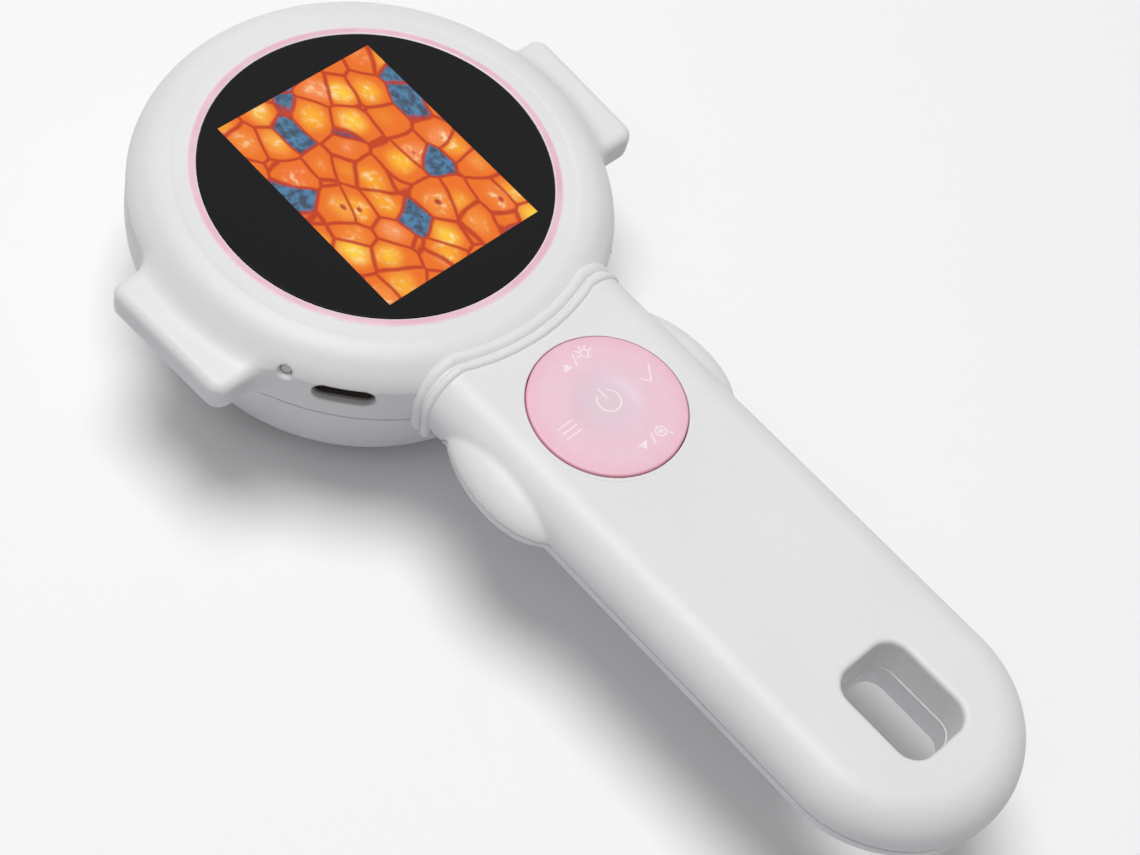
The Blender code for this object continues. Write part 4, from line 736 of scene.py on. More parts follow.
def beadPath(radius, thick, proud, c):
    # An arc round the head's axis on the handle's top, then a quarter round down each
    # side, swept back a little, and a last turn into the neck.
    half = c["handleHalf"] - thick + collar["proudSide"]
    corner = c["handleTopRound"]
    top = c["handleTop"] + thick - proud
    flat = np.linspace(0, half - corner, 30)
    angle = np.linspace(0, math.pi / 2, 25)[1:]
    down = np.linspace(top + corner, collar["end"], 8)[1:]
    turnIn = np.linspace(0, math.pi / 2, 8)[1:]
    tuck = collar["tuck"]
    x = np.concatenate([flat, half - corner + corner * np.sin(angle), half + 0 * down,
                        half - tuck * (1 - np.cos(turnIn))])
    drop = np.concatenate([top + 0 * flat, top + corner * (1 - np.cos(angle)), down,
                           collar["end"] + collar["tuckDrop"] * tuck * np.sin(turnIn)])
    turnY = math.sqrt(radius ** 2 - collar["turn"] ** 2)
    onArc = np.sqrt(np.maximum(radius ** 2 - x ** 2, 0))
    onSide = turnY + collar["sweep"] * (drop - top) / (c["splitDrop"] - top)
    share = ease((x - collar["turn"] + collar["turnHalf"]) / (2 * collar["turnHalf"]))
    path = np.stack([x, -onArc - (onSide - onArc) * share, -drop], axis=1)
    return np.concatenate([path[:0:-1] * [-1, 1, 1], path]) + [0.0, headY, glassZ]


for bead, (radius, thick, proud) in enumerate(zip(collar["radii"], collar["thick"],
                                                  collar["proud"]), 1):
    path = beadPath(radius, thick, proud, casing)
    finishPiece(tube("collar_bead_" + str(bead), path, thick, across=(0.0, 1.0, 0.0)), "casing",
                whitePlastic, "shell")


# trim ring, and the ring let into the handle so that the keypad's hole is a true circle

hidden = 0.0001         # round of corners that no one sees
# pale is the paler outer edge and also the painted highlight on the inner chamfer
trim = {"inner": 0.02798, "outer": 0.02930, "chamfer": 0.00022, "fade": 0.0004, "thick": 0.0016,
        "round": 0.00005, "outerDrop": 0.00036, "innerDrop": 0.00032, "pale": (0.86, 0.76, 0.81),
        "pink": (0.835, 0.558, 0.656), "deep": (0.800, 0.470, 0.585), "roughness": (0.30, 0.40)}
keypadSeat = {"inner": 0.01257, "outer": 0.01320, "proud": 0.00002, "deep": 0.0030,
              "lip": 0.00017, "edge": 0.00001}


def seatRing(c):
    top = casing["handleTop"] - c["proud"]
    return turnCorners("keypad_seat", [(c["inner"], top, c["lip"]), (c["outer"], top, c["edge"]),
                                       (c["outer"], c["deep"], hidden),
                                       (c["inner"], c["deep"], hidden)], 160, keypadY)


def trimRing(c):
    return turnCorners("trim_ring", [
        (c["inner"], c["innerDrop"] + c["chamfer"] / 2, c["round"]),
        (c["inner"] + c["chamfer"], c["innerDrop"], c["round"]),
        (c["outer"], c["outerDrop"], c["round"]), (c["outer"], c["thick"], hidden),
        (c["inner"], c["thick"], hidden)], 160)


def pinkTone(paint, scale):
    return paint.mix(paint.rise(paint.noise(scale, 3.0, 0.6), 0.32, 0.68), trim["deep"],
                     trim["pink"])


def trimPaint():
    # Paler towards the outer edge, and a painted highlight on the inner chamfer: pale pink that
    # stands in for light catching it.
    paint = Paint("pinkTrim", Specular_IOR_Level=0.5, IOR=1.48)
    pink = pinkTone(paint, 160.0)
    away = paint.distanceFrom(0.0, headY)
    cut, outer = trim["inner"] + trim["chamfer"], trim["outer"]
    chamferHighlight = paint.fall(away, cut - trim["round"], cut + trim["round"])
    faded = paint.rise(away, outer - trim["fade"], outer) * 0.75
    pink = paint.mix(faded, pink, trim["pale"])
    low, high = trim["roughness"]
    # painted highlight: the inner chamfer is given the pale pink
    return paint.finish(paint.mix(chamferHighlight, pink, trim["pale"]),
                        (paint.noise(500.0), high - low, low),
                        (paint.noise(2600.0, 2.0), 0.000005, 0.5))


finishPiece(seatRing(keypadSeat), "casing", whitePlastic, "shell")
finishPiece(trimRing(trim), "casing", trimPaint(), "pink", "bezel_ring")


# window: a disc of black glass with a lit picture in it

window = {"radius": 0.0279, "top": 0.00026, "thick": 0.0016, "round": 0.00018, "flat": 0.02,
          "black": (0.0150, 0.0150, 0.0163), "behind": (0.012, 0.012, 0.013),
          "halfWidth": 0.0153, "halfLength": 0.0204, "litDepth": 0.0001, "glow": 0.98}
slide = {
    "squash": (1.0, 0.74, 0.0), "turn": (0.0, 0.0, 0.42), "bendScale": 80.0, "bend": 0.0040,
    "cellScale": 215.0, "grainScale": 900.0,
    "inside": [(0.00, (0.95, 0.36, 0.020)), (0.30, (1.00, 0.50, 0.030)),
               (0.55, (1.00, 0.66, 0.060)), (0.80, (0.90, 0.16, 0.040)),
               (1.00, (0.98, 0.42, 0.16))],
    "wall": (0.50, 0.035, 0.012), "edge": (0.86, 0.17, 0.015), "nucleus": (0.42, 0.020, 0.030),
    "gap": (0.085, 0.235, 0.400), "gapDeep": (0.060, 0.080, 0.130), "spark": (1.00, 0.86, 0.50),
    "gapAbove": 0.84, "nucleusAbove": 0.62,
}


def slidePicture(paint, c):
    # A stained section of plant cells: each cell has a random tone, paler in its middle and
    # darker at its wall, a few hold a nucleus, and some are gaps that took the blue stain.
    plane = paint.mapped(Scale=c["squash"], Rotation=c["turn"])
    bend = paint.noise(c["bendScale"], 2.0, 0.5, plane).other("Color")
    bent = paint.node("ShaderNodeMix", {"data_type": "VECTOR"}, {0: c["bend"], 4: plane, 5: bend},
                      1)
    tone = paint.cells(c["cellScale"], randomness=0.85, vector=bent, output="Color")
    middle = tone.other("Distance")
    edge = paint.cells(c["cellScale"], "DISTANCE_TO_EDGE", randomness=0.85, vector=bent)
    share, second, third = paint.parts(tone)
    inside = paint.node("ShaderNodeValToRGB", {"stops": c["inside"]}, {"Fac": share})
    inside = paint.mix(paint.rise(middle, 0.05, 0.62), inside, c["edge"])
    streak = paint.noise(c["grainScale"], 3.0, 0.6, bent)
    pale = paint.rise(streak, 0.48, 0.70) * paint.fall(middle, 0.10, 0.50)
    inside = paint.mix(pale * 0.75, inside, c["spark"])
    gap = paint.mix(paint.rise(streak, 0.35, 0.65), c["gapDeep"], c["gap"])
    inside = paint.mix(second > c["gapAbove"], inside, gap)
    seed = paint.fall(middle, 0.10, 0.16) * (third > c["nucleusAbove"]) * (second < c["gapAbove"])
    inside = paint.mix(seed * 0.9, inside, c["nucleus"])
    return paint.mix(paint.fall(edge, 0.020, 0.085) * 0.85, inside, c["wall"])


def windowPaint(c):
    paint = Paint("blackWindow", Specular_IOR_Level=0.05, IOR=1.45, Emission_Strength=c["glow"])
    x, y, z = paint.around(0.0, headY)
    lit = (abs(x) < c["halfWidth"]) * (abs(y) < c["halfLength"])
    lit = lit * (z > glassZ - c["top"] - c["litDepth"])
    paint.set("Emission Color", paint.mix(lit, (0.0, 0.0, 0.0), slidePicture(paint, slide)))
    return paint.finish(paint.mix(lit, c["black"], c["behind"]),
                        (paint.noise(60.0, 3.0, 0.6), 0.05, 0.05))


def windowPiece(c):
    edge = roundedProfile([(c["flat"], -c["top"], 0.0), (c["radius"], -c["top"], c["round"]),
                           (c["radius"], -c["thick"], c["round"]),
                           (c["flat"], -c["thick"], 0.0)])
    rings = np.linspace(0.0, c["flat"], 5)[:-1]
    profile = np.concatenate([np.stack([rings, 0 * rings - c["top"]], axis=1), edge,
                              np.stack([rings[::-1], 0 * rings - c["thick"]], axis=1)])
    return turn("window_glass", profile, 160)


finishPiece(windowPiece(window), "casing", windowPaint(window), "black_glass", "cover_glass")


# keypad: a dished cap with a rounded edge, a skirt and a flange, and its printed signs

keypad = {
    "radius": 0.01240, "top": 0.0011, "dish": 0.0003, "edgeRound": 0.0004,
    "flangeRadius": 0.01345, "flangeTop": 0.0043, "flangeBottom": 0.0049, "hub": 0.0020,
    "hubBottom": 0.00514, "dishShares": (0.26, 0.50), "blush": (0.0022, 0.0080),
    # edge is painted light: the saturated pink of light shining through the cap's rim
    "middle": (0.760, 0.590, 0.665), "pink": (0.852, 0.560, 0.660), "edge": (0.860, 0.390, 0.490),
    "deepPink": (0.850, 0.500, 0.605), "pale": (0.93, 0.80, 0.86), "deepWidth": 0.0030,
    "rimGlowWidth": 0.0003,
    "signPlace": (0.8, 0.5), "ink": (0.960, 0.830, 0.860), "inkShade": (0.90, 0.72, 0.77),
    "stroke": 0.00014, "proud": 0.00002, "leastTurn": 0.35,
}


def keypadTop(radius):
    # Depth of the cap's top: level outside, and a cosine step down to a level middle.
    inner, outer = (share * keypad["radius"] for share in keypad["dishShares"])
    share = np.clip((radius - inner) / (outer - inner), 0, 1)
    return keypad["top"] + keypad["dish"] * (0.5 + 0.5 * np.cos(math.pi * share))


def keypadCap(c):
    radius, size = c["radius"], c["edgeRound"]
    rings = np.linspace(0.0, radius - size, 24)
    top = np.stack([rings, -keypadTop(rings)], axis=1)
    angle = np.linspace(0, math.pi / 2, 9)[1:]
    edge = np.stack([radius - size + size * np.sin(angle),
                     -c["top"] - size * (1 - np.cos(angle))], axis=1)
    rest = np.array([(radius, -c["flangeTop"]), (c["flangeRadius"], -c["flangeTop"]),
                     (c["flangeRadius"], -c["flangeBottom"]), (c["hub"], -c["flangeBottom"]),
                     (c["hub"], -c["hubBottom"]), (0.0, -c["hubBottom"])])
    return turn("keypad_cap", np.concatenate([top, edge, rest]), 128, keypadY)


def keypadPaint(c):
    # Greyer round the power sign, deeper pink towards the edge, and a painted glow at the rim:
    # saturated pink that stands in for light passing through the cap's edge.
    paint = Paint("pinkKeypad", Specular_IOR_Level=0.5, IOR=1.47)
    signX, signY = c["signPlace"]
    fromSign = paint.distanceFrom(signX / 1000, keypadY + signY / 1000)
    pink = paint.mix(paint.rise(fromSign, *c["blush"]), c["middle"], c["pink"])
    away, rim = paint.distanceFrom(0.0, keypadY), c["radius"]
    pink = paint.mix(paint.rise(away, rim - c["deepWidth"], rim), pink, c["deepPink"])
    # painted light: the saturated band at the rim stands in for light passing through the cap's
    # edge
    pink = paint.mix(paint.rise(away, rim - c["rimGlowWidth"], rim), pink, c["edge"])
    mottle = paint.rise(paint.noise(420.0, 3.0, 0.62), 0.35, 0.70)
    return paint.finish(paint.mix(mottle * 0.10, pink, c["pale"]),
                        (paint.noise(700.0), 0.12, 0.34),
                        (paint.noise(2400.0, 2.0), 0.000008, 0.5))


def arcPoints(x, y, radius, startDeg, endDeg, count):
    angle = np.radians(np.linspace(startDeg, endDeg, count))
    return np.stack([x + radius * np.cos(angle), y + radius * np.sin(angle)], axis=1)


def signStrokes():
    # Paths in millimetres from the keypad's middle, +Y towards the screen: a power sign, two
    # slashes, a lamp with rays, a magnifier, a tick and a list.
    signX, signY = keypad["signPlace"]
    power = [arcPoints(signX, signY, 1.9, 125, 415, 36),
             [(signX, signY + 0.5), (signX, signY + 2.5)]]
    slashes = [[(1.0, 8.0), (1.7, 9.6)], [(1.0, -9.3), (1.7, -7.7)]]
    lamp = [arcPoints(3.4, 8.9, 0.62, -55, 235, 20), [(3.1, 8.05), (3.7, 8.05)]]
    for angle in np.radians((0, 45, 90, 135, 180)):
        ray = np.array([math.cos(angle), math.sin(angle)])
        lamp.append(np.array([ray * 0.98, ray * 1.35]) + [3.4, 8.9])
    magnifier = [arcPoints(3.2, -8.2, 0.85, 0, 360, 24), [(3.8, -8.8), (4.5, -9.5)],
                 [(2.8, -8.2), (3.6, -8.2)], [(3.2, -8.6), (3.2, -7.8)]]
    tick = [[(7.3, 0.3), (8.3, -0.9), (10.1, 1.5)]]
    bars = [[(-9.2, height), (-6.4, height)] for height in (-0.8, 0.2, 1.2)]
    return [np.array(path) / 1000 for path in power + slashes + lamp + magnifier + tick + bars]


arrows = [np.array([(-1.55, 8.0), (0.35, 8.0), (-0.6, 9.3)]) / 1000,
          np.array([(-1.55, -8.0), (-0.6, -9.3), (0.35, -8.0)]) / 1000]


def onCap(corners, lift):
    # Places in plan set down on the cap's top and lifted.
    depth = keypadTop(np.hypot(corners[:, 0], corners[:, 1]))
    return np.stack([corners[:, 0], corners[:, 1] + keypadY, glassZ - depth + lift], axis=1)


def inkStroke(path, half, proud):
    # A strip of even width with rounded joins, laid on the cap's top: at each point two
    # places either side of the path, moved out so that the sides keep their distance.
    closed = np.allclose(path[0], path[-1])
    step = np.diff(path, axis=0)
    step /= np.linalg.norm(step, axis=1, keepdims=True)
    before = np.concatenate([step[-1:] if closed else step[:1], step])
    after = np.concatenate([step, step[:1] if closed else step[-1:]])
    middle = before + after
    middle /= np.linalg.norm(middle, axis=1, keepdims=True)
    spread = 1 / np.maximum((middle * after).sum(axis=1, keepdims=True), keypad["leastTurn"])
    side = np.stack([-middle[:, 1], middle[:, 0]], axis=1) * spread * half
    if closed:
        path, side = path[:-1], side[:-1]
    else:
        path[0] -= step[0] * half
        path[-1] += step[-1] * half
    lift = np.array([proud, proud, -keypad["proud"], -keypad["proud"]])
    return np.array([onCap(np.array([place + away, place - away, place - away, place + away]),
                           lift) for place, away in zip(path, side)]), closed


def keypadPrint():
    points, faces, caps, start = [], [], [], 0
    for index, path in enumerate(signStrokes()):
        proud = keypad["proud"] * (1 + 0.2 * (index % 5))       # so that crossings don't flicker
        loops, closed = inkStroke(path, keypad["stroke"], proud)
        rows = len(loops)
        points.append(loops.reshape(-1, 3))
        faces.append(sheetFaces(rows, 4, closeRows=closed) + start)
        if not closed:
            last = start + (rows - 1) * 4
            caps += [(start, start + 1, start + 2), (start, start + 2, start + 3),
                     (last, last + 2, last + 1), (last, last + 3, last + 2)]
        start += rows * 4
    for corners in arrows:
        points += [onCap(corners, lift) for lift in (keypad["proud"], -keypad["proud"])]
        caps += [(start, start + 1, start + 2), (start + 3, start + 5, start + 4)]
        ring = start + np.arange(3)
        after = np.roll(ring, -1)
        faces.append(np.stack([after, ring, ring + 3, after + 3], axis=1))
        start += 6
    piece = putMesh("keypad_print", np.concatenate(points), np.concatenate(faces), caps)
    piece.data.shade_flat()
    return piece


def inkPaint(c):
    paint = Paint("paleInk", Specular_IOR_Level=0.4)
    tone = paint.rise(paint.noise(1800.0), 0.3, 0.7)
    return paint.finish(paint.mix(tone, c["inkShade"], c["ink"]), (paint.noise(900.0), 0.15, 0.40))


finishPiece(keypadCap(keypad), "keypad_cap", keypadPaint(keypad), "pink", "keypad_disc")
finishPiece(keypadPrint(), "keypad_cap", inkPaint(keypad), "pink")


# charging port, a steel shell with a tongue in it, memory card and reset button: each stands
# in its own mouth in the head's wall

# the port's steel is near black: the steel's own reddish tone darkened into painted shade of the
# deep mouth
port = {"angleDeg": 222.7, "drop": 0.0070, "mouth": 0.0372, "depth": 0.0068, "halfWidth": 0.0045,
        "halfHeight": 0.0016, "wall": 0.0003, "backWall": 0.0010, "tongueHalf": 0.00335,
        "tongueThick": 0.00035, "tongueShy": 0.0010, "steel": (0.085, 0.070, 0.066)}
card = {"angleDeg": 317.3, "drop": 0.00755, "outer": 0.0383, "length": 0.0150,
        "halfWidth": 0.0055, "thick": 0.0008, "corner": 0.00030, "black": (0.030, 0.031, 0.034)}
button = {"angleDeg": 208.8, "drop": 0.0050, "tip": 0.0375, "root": 0.0333, "radius": 0.00093,
          "crown": 0.4, "grey": (0.72, 0.72, 0.73)}


def spokePiece(name, c, sections, steps=4):
    # Rounded rectangles that stand across a spoke of the head, joined in turn: each is
    # (reach, half width, half height, corner).
    quarter = np.arange(4)
    turned = (quarter[:, None] + np.linspace(0, 1, steps + 1)[None, :]) * math.pi / 2
    signAcross = np.array([1, -1, -1, 1])[:, None]
    signUp = np.array([1, 1, -1, -1])[:, None]
    angle = math.radians(c["angleDeg"])
    loops = []
    for reach, halfWidth, halfHeight, corner in sections:
        across = (signAcross * (halfWidth - corner) + corner * np.cos(turned)).ravel()
        up = (signUp * (halfHeight - corner) + corner * np.sin(turned)).ravel()
        loops.append(np.stack([reach * math.cos(angle) - across * math.sin(angle),
                               headY + reach * math.sin(angle) + across * math.cos(angle),
                               glassZ - c["drop"] + up], axis=1))
    return stackLoops(name, loops)


def portShell(c):
    # Down the inside from its floor, round the lip and back along the outside.
    back, mouth, wall = c["mouth"] - c["depth"], c["mouth"], c["wall"]
    lip = wall / 2
    places = [(back + c["backWall"], wall), (mouth - lip, wall), (mouth - lip / 3, wall * 0.75),
              (mouth, wall / 2), (mouth - lip / 3, wall * 0.25), (mouth - lip, 0.0), (back, 0.0)]
    return spokePiece("port_shell", c, [
        (reach, c["halfWidth"] - inset, c["halfHeight"] - inset, c["halfHeight"] - inset)
        for reach, inset in places], 8)


def portTongue(c):
    tip, edge, thick = c["mouth"] - c["tongueShy"], c["tongueThick"] / 3, c["tongueThick"]
    places = [(c["mouth"] - c["depth"] + c["backWall"] / 2, 0.0), (tip - edge, 0.0), (tip, edge)]
    return spokePiece("port_tongue", c, [
        (reach, c["tongueHalf"] - inset, thick - inset, thick / 2) for reach, inset in places])


def cardPiece(c):
    edge, inner = c["corner"] / 2, c["outer"] - c["length"]
    places = [(inner, edge), (inner + edge, 0.0), (c["outer"] - edge, 0.0), (c["outer"], edge)]
    return spokePiece("card_body", c, [
        (reach, c["halfWidth"] - inset, c["thick"] / 2 - inset, c["corner"] - inset)
        for reach, inset in places])


def buttonPiece(c):
    # A round bar with a crowned tip.
    size, crown = c["radius"], c["crown"]
    angle = np.linspace(0, math.pi / 2, 6)
    reaches = c["tip"] - size * crown * (1 - np.sin(angle))
    radii = size * (1 - crown + crown * np.cos(angle))
    return spokePiece("reset_button", c, [(c["root"], size, size, size)] + [
        (reach, radius, radius, radius) for reach, radius in zip(reaches, radii)], 6)


def steelPaint(name, tint=(0.56, 0.56, 0.57), brushScale=(900.0, 60.0, 900.0)):
    # Plated steel, brushed one way by a noise that is stretched along y.
    paint = Paint(name, Metallic=1.0)
    brush = paint.noise(1.0, 3.0, 0.6, paint.mapped(Scale=brushScale))
    return paint.finish(paint.mix(paint.rise(brush, 0.3, 0.7), dimmed(tint, 0.86), tint),
                        (brush, 0.16, 0.22), (brush, 0.000004, 0.5))


def mouldedPaint(name, color, roughness=0.55, scale=1400.0):
    # Moulded plastic with an even grain.
    paint = Paint(name, Specular_IOR_Level=0.4)
    grain = paint.noise(scale, 3.0, 0.6)
    return paint.finish(paint.mix(paint.rise(grain, 0.35, 0.65), dimmed(color, 0.88), color),
                        (grain, 0.2, roughness - 0.1), (grain, 0.000008, 0.5))


print("port, card and pinhole")
blackPlastic = mouldedPaint("blackPlastic", (0.022, 0.022, 0.024))
# the port's shell gets steel darkened to painted shade
finishPiece(portShell(port), "casing", steelPaint("shadedPortSteel", port["steel"]), "steel",
            "usb_c_receptacle")
finishPiece(portTongue(port), "casing", blackPlastic, "chip")
finishPiece(cardPiece(card), "memory_card", mouldedPaint("cardBlack", card["black"]), "chip",
            "memory_card")
finishPiece(buttonPiece(button), "reset_plunger", mouldedPaint("buttonGrey", button["grey"]),
            "lead_black", "reset_plunger")


# focus ring: a sleeve with two helical slots, a web and a fluted grip

focus = {
    "sleeveBore": 0.0081, "sleeveRadius": 0.0094, "sleeveTop": 0.0136, "webTop": 0.0252,
    "webBottom": 0.0270, "flangeRadius": 0.0240, "flangeFoot": 0.0292, "gripRadius": 0.0220,
    "gripBore": 0.0176, "bottom": 0.0344, "round": 0.0007, "edge": 0.0003,
    "flutes": 18, "fluteDepth": 0.0006, "fluteTop": 0.0320, "fluteFade": 0.0006,
    "slotMiddle": 0.0180, "slotHalf": 0.00112, "slotReach": 0.0125, "travel": 0.0025,
    "swingDeg": 75.0, "swingSpareDeg": 8.5,
}


def bandShape(r, d, inner, outer, top, bottom, size):
    # A ring of rectangular section with rounded corners.
    return roundedRectangle(r - (inner + outer) / 2, d - (top + bottom) / 2, (outer - inner) / 2,
                            (bottom - top) / 2, size)


def focusShape(x, y, z, c):
    # The grip's radius waves with the angle: a squared raised cosine, 18 times round.
    r, d = np.hypot(x, y), -z
    angle = np.arctan2(y, x)
    wave = (0.5 - 0.5 * np.cos(c["flutes"] * angle)) ** 2
    into = np.clip((d - c["fluteTop"]) / c["fluteFade"], 0, 1)
    waved = r + c["fluteDepth"] * wave * into * (r > (c["gripBore"] + c["gripRadius"]) / 2)
    edge = c["edge"]
    body = bandShape(r, d, c["sleeveBore"], c["sleeveRadius"], c["sleeveTop"], c["webBottom"],
                     edge)
    web = bandShape(r, d, c["sleeveBore"], c["flangeRadius"], c["webTop"], c["webBottom"], edge)
    flange = bandShape(r, d, c["gripBore"], c["flangeRadius"], c["webTop"], c["flangeFoot"], edge)
    grip = bandShape(waved, d, c["gripBore"], c["gripRadius"], c["webTop"], c["bottom"],
                     c["round"])
    for more in (web, flange, grip):
        body = softMin(body, more, edge)
    for start in (0.0, math.pi):
        degrees = np.degrees((angle - start + math.pi) % (2 * math.pi) - math.pi)
        middle = c["slotMiddle"] + c["travel"] * degrees / c["swingDeg"]
        beyond = np.maximum(np.abs(degrees) - c["swingDeg"] - c["swingSpareDeg"], 0)
        slot = np.hypot(d - middle, np.radians(beyond) * r) - c["slotHalf"]
        body = softMax(body, -np.maximum(slot, r - c["slotReach"]), edge / 2)
    return body


def gripPaint():
    paint = Paint("pinkGrip", Specular_IOR_Level=0.45, IOR=1.48)
    return paint.finish(pinkTone(paint, 180.0), (paint.noise(500.0), 0.12, 0.42),
                        (paint.noise(2600.0, 2.0), 0.000008, 0.6))


print("optics")
focusPlan = steps((-0.0246, 0.0246, 0.00050))
focusLines = (focusPlan, focusPlan, steps((-0.0350, -0.0128, 0.00046)))
finishPiece(makeShell("focus_grip", focusShape, focusLines, focus), "focus_ring", gripPaint(),
            "pink", "focus_ring")


# light hood, diffuser and lamps

hood = {"radius": 0.0172, "inner": 0.0158, "bottom": 0.0360, "webTop": 0.0273,
        "webBottom": 0.0285, "collarBore": 0.0056, "collarRadius": 0.0066, "collarTop": 0.0246,
        "round": 0.00045, "edge": 0.0002, "inside": 0.0003, "clear": (0.955, 0.965, 0.970)}
diffuser = {"bore": 0.0056, "radius": 0.0155, "top": 0.0316, "bottom": 0.0326, "round": 0.00025,
            "frost": (0.93, 0.93, 0.92)}
leds = {"pitch": 0.0118, "half": 0.0015, "top": 0.0301, "bottom": 0.0309, "window": 0.00115,
        "count": 6, "sides": 48, "squareness": 9.0,
        "back": ((0.97, 0.0), (1.0, 0.00006)), "front": ((1.0, 0.00012), (0.96, 0.00006)),
        "crown": ((1.0, 0.00006), (0.93, 0.00020), (0.80, 0.00012), (0.45, 0.00003)),
        "white": ((0.78, 0.78, 0.76), (0.84, 0.84, 0.82)),
        "yellow": ((0.80, 0.62, 0.16), (0.90, 0.74, 0.26)), "rim": (0.00105, 0.00112),
        "faceUnder": 0.0005}


def clearPaint(name, tint, roughness, scale, through=1.0):
    paint = Paint(name, Transmission_Weight=through, IOR=1.46, Specular_IOR_Level=0.5)
    cloud = paint.noise(scale, 3.0, 0.6)
    return paint.finish(paint.mix(paint.rise(cloud, 0.3, 0.7), dimmed(tint, 0.985), tint),
                        (cloud, 0.06, roughness))


def hoodPiece(c):
    edge, inside, size = c["edge"], c["inside"], c["round"]
    return turnCorners("hood_body", [
        (c["collarBore"], c["collarTop"], edge), (c["collarRadius"], c["collarTop"], edge),
        (c["collarRadius"], c["webTop"], edge), (c["radius"], c["webTop"], inside),
        (c["radius"], c["bottom"], size), (c["inner"], c["bottom"], size),
        (c["inner"], c["webBottom"], inside), (c["collarBore"], c["webBottom"], edge)], 144)


def diffuserPiece(c):
    return turnCorners("diffuser_plate", [
        (radius, depth, c["round"]) for radius, depth in (
            (c["bore"], c["top"]), (c["radius"], c["top"]), (c["radius"], c["bottom"]),
            (c["bore"], c["bottom"]))], 128)


def ledPlaces():
    angles = [2 * math.pi * index / leds["count"] for index in range(leds["count"])]
    return [(angle, leds["pitch"] * math.cos(angle), leds["pitch"] * math.sin(angle))
            for angle in angles]


def ledPiece(name, angle):
    # A square package, (|cos|^p + |sin|^p)^(-1/p) in plan, whose face is a round window with
    # a low crown of phosphor. Its rows are shares of the half width or of the window's radius,
    # each with a distance from the back or from the face. The rows joined are (radius, depth).
    turned = np.linspace(0, 2 * math.pi, leds["sides"], endpoint=False)
    cosine, sine, power = np.cos(turned), np.sin(turned), leds["squareness"]
    square = leds["half"] * (np.abs(cosine) ** power + np.abs(sine) ** power) ** (-1 / power)
    rows = [(square * share, leds["top"] + drop) for share, drop in leds["back"]]
    rows += [(size * share, leds["bottom"] - rise) for size, part in (
        (square, "front"), (leds["window"], "crown")) for share, rise in leds[part]]
    loops = []
    for radius, drop in rows:
        across, along = radius * cosine, radius * sine
        x = (leds["pitch"] + across) * math.cos(angle) - along * math.sin(angle)
        y = (leds["pitch"] + across) * math.sin(angle) + along * math.cos(angle)
        loops.append(np.stack([x, y + headY, 0 * x + glassZ - drop], axis=1))
    return stackLoops(name, loops)


def lampPaint(c):
    # White package, yellow phosphor inside each round window.
    paint = Paint("lampPhosphor", Specular_IOR_Level=0.5)
    aways = [paint.distanceFrom(x, headY + y) for _, x, y in ledPlaces()]
    nearest = aways[0]
    for away in aways[1:]:
        nearest = paint.math("MINIMUM", nearest, away)
    phosphor = paint.fall(nearest, *c["rim"])
    phosphor = phosphor * (paint.parts()[2] < glassZ - c["top"] - c["faceUnder"])
    grain = paint.noise(3000.0, 2.0)
    color = paint.mix(phosphor, paint.mix(grain, *c["white"]), paint.mix(grain, *c["yellow"]))
    return paint.finish(color, (grain, 0.2, 0.3))


finishPiece(hoodPiece(hood), "casing", clearPaint("clearHood", hood["clear"], 0.04, 300.0),
            "clear", "light_hood")
finishPiece(diffuserPiece(diffuser), "casing",
            clearPaint("frostedDiffuser", diffuser["frost"], 0.50, 900.0, 0.55), "clear",
            "diffuser_ring")
phosphorPaint = lampPaint(leds)
for led, (angle, _, _) in enumerate(ledPlaces(), 1):
    finishPiece(ledPiece("lamp_" + str(led), angle), "casing", phosphorPaint, "lamp",
                "led_" + str(led))


# lens group: barrel with two drive pins, two lenses and the ring that holds the lower one

lensGroup = {"barrelRadius": 0.0066, "barrelBore": 0.0053, "shoulderRadius": 0.0042,
             "middle": 0.0180, "halfLength": 0.0035, "halfShoulder": 0.0004, "bevel": 0.0003,
             "bevelIn": 0.0002, "pinRadius": 0.0008, "pinReach": 0.0090, "pinTuck": 0.0003,
             "lensRadius": 0.0050, "crown": 0.0005, "fieldEdge": 0.0009,
             "objectiveEdge": 0.0008, "gap": 0.0003, "ringThick": 0.0006,
             "notchInside": 0.0046, "notchDepth": 0.00045, "notchFrom": 0.985,
             "notchSide": 0.006, "tint": ((0.93, 0.95, 0.99), (0.80, 0.78, 0.95))}


def barrelPiece(c):
    bore, shoulder, middle = c["barrelBore"], c["shoulderRadius"], c["middle"]
    top, bottom = middle - c["halfLength"], middle + c["halfLength"]
    upper, lower = middle - c["halfShoulder"], middle + c["halfShoulder"]
    return turnCorners("barrel_body", [
        (bore, top, c["bevelIn"]), (c["barrelRadius"], top, c["bevel"]),
        (c["barrelRadius"], bottom, c["bevel"]), (bore, bottom, c["bevelIn"]),
        (bore, lower, hidden), (shoulder, lower, hidden), (shoulder, upper, hidden),
        (bore, upper, hidden)], 96, steps=4)


def pinPiece(name, side, c):
    root = (c["barrelBore"] + c["barrelRadius"]) / 2 + c["pinTuck"]
    reach = np.linspace(root, c["pinReach"], 5)
    path = np.stack([side * reach, 0 * reach + headY, 0 * reach + glassZ - c["middle"]], axis=1)
    return tube(name, path, c["pinRadius"])


def lensPiece(name, edgeTop, edge):
    # Two shallow parabolas on a short rim.
    radius, crown = lensGroup["lensRadius"], lensGroup["crown"]
    rings = np.linspace(0, radius, 18)
    rise = crown * (1 - (rings / radius) ** 2)
    upper = np.stack([rings, -edgeTop + rise], axis=1)
    lower = np.stack([rings[::-1], -edgeTop - edge - rise[::-1]], axis=1)
    return turn(name, np.concatenate([upper, lower]), 96)


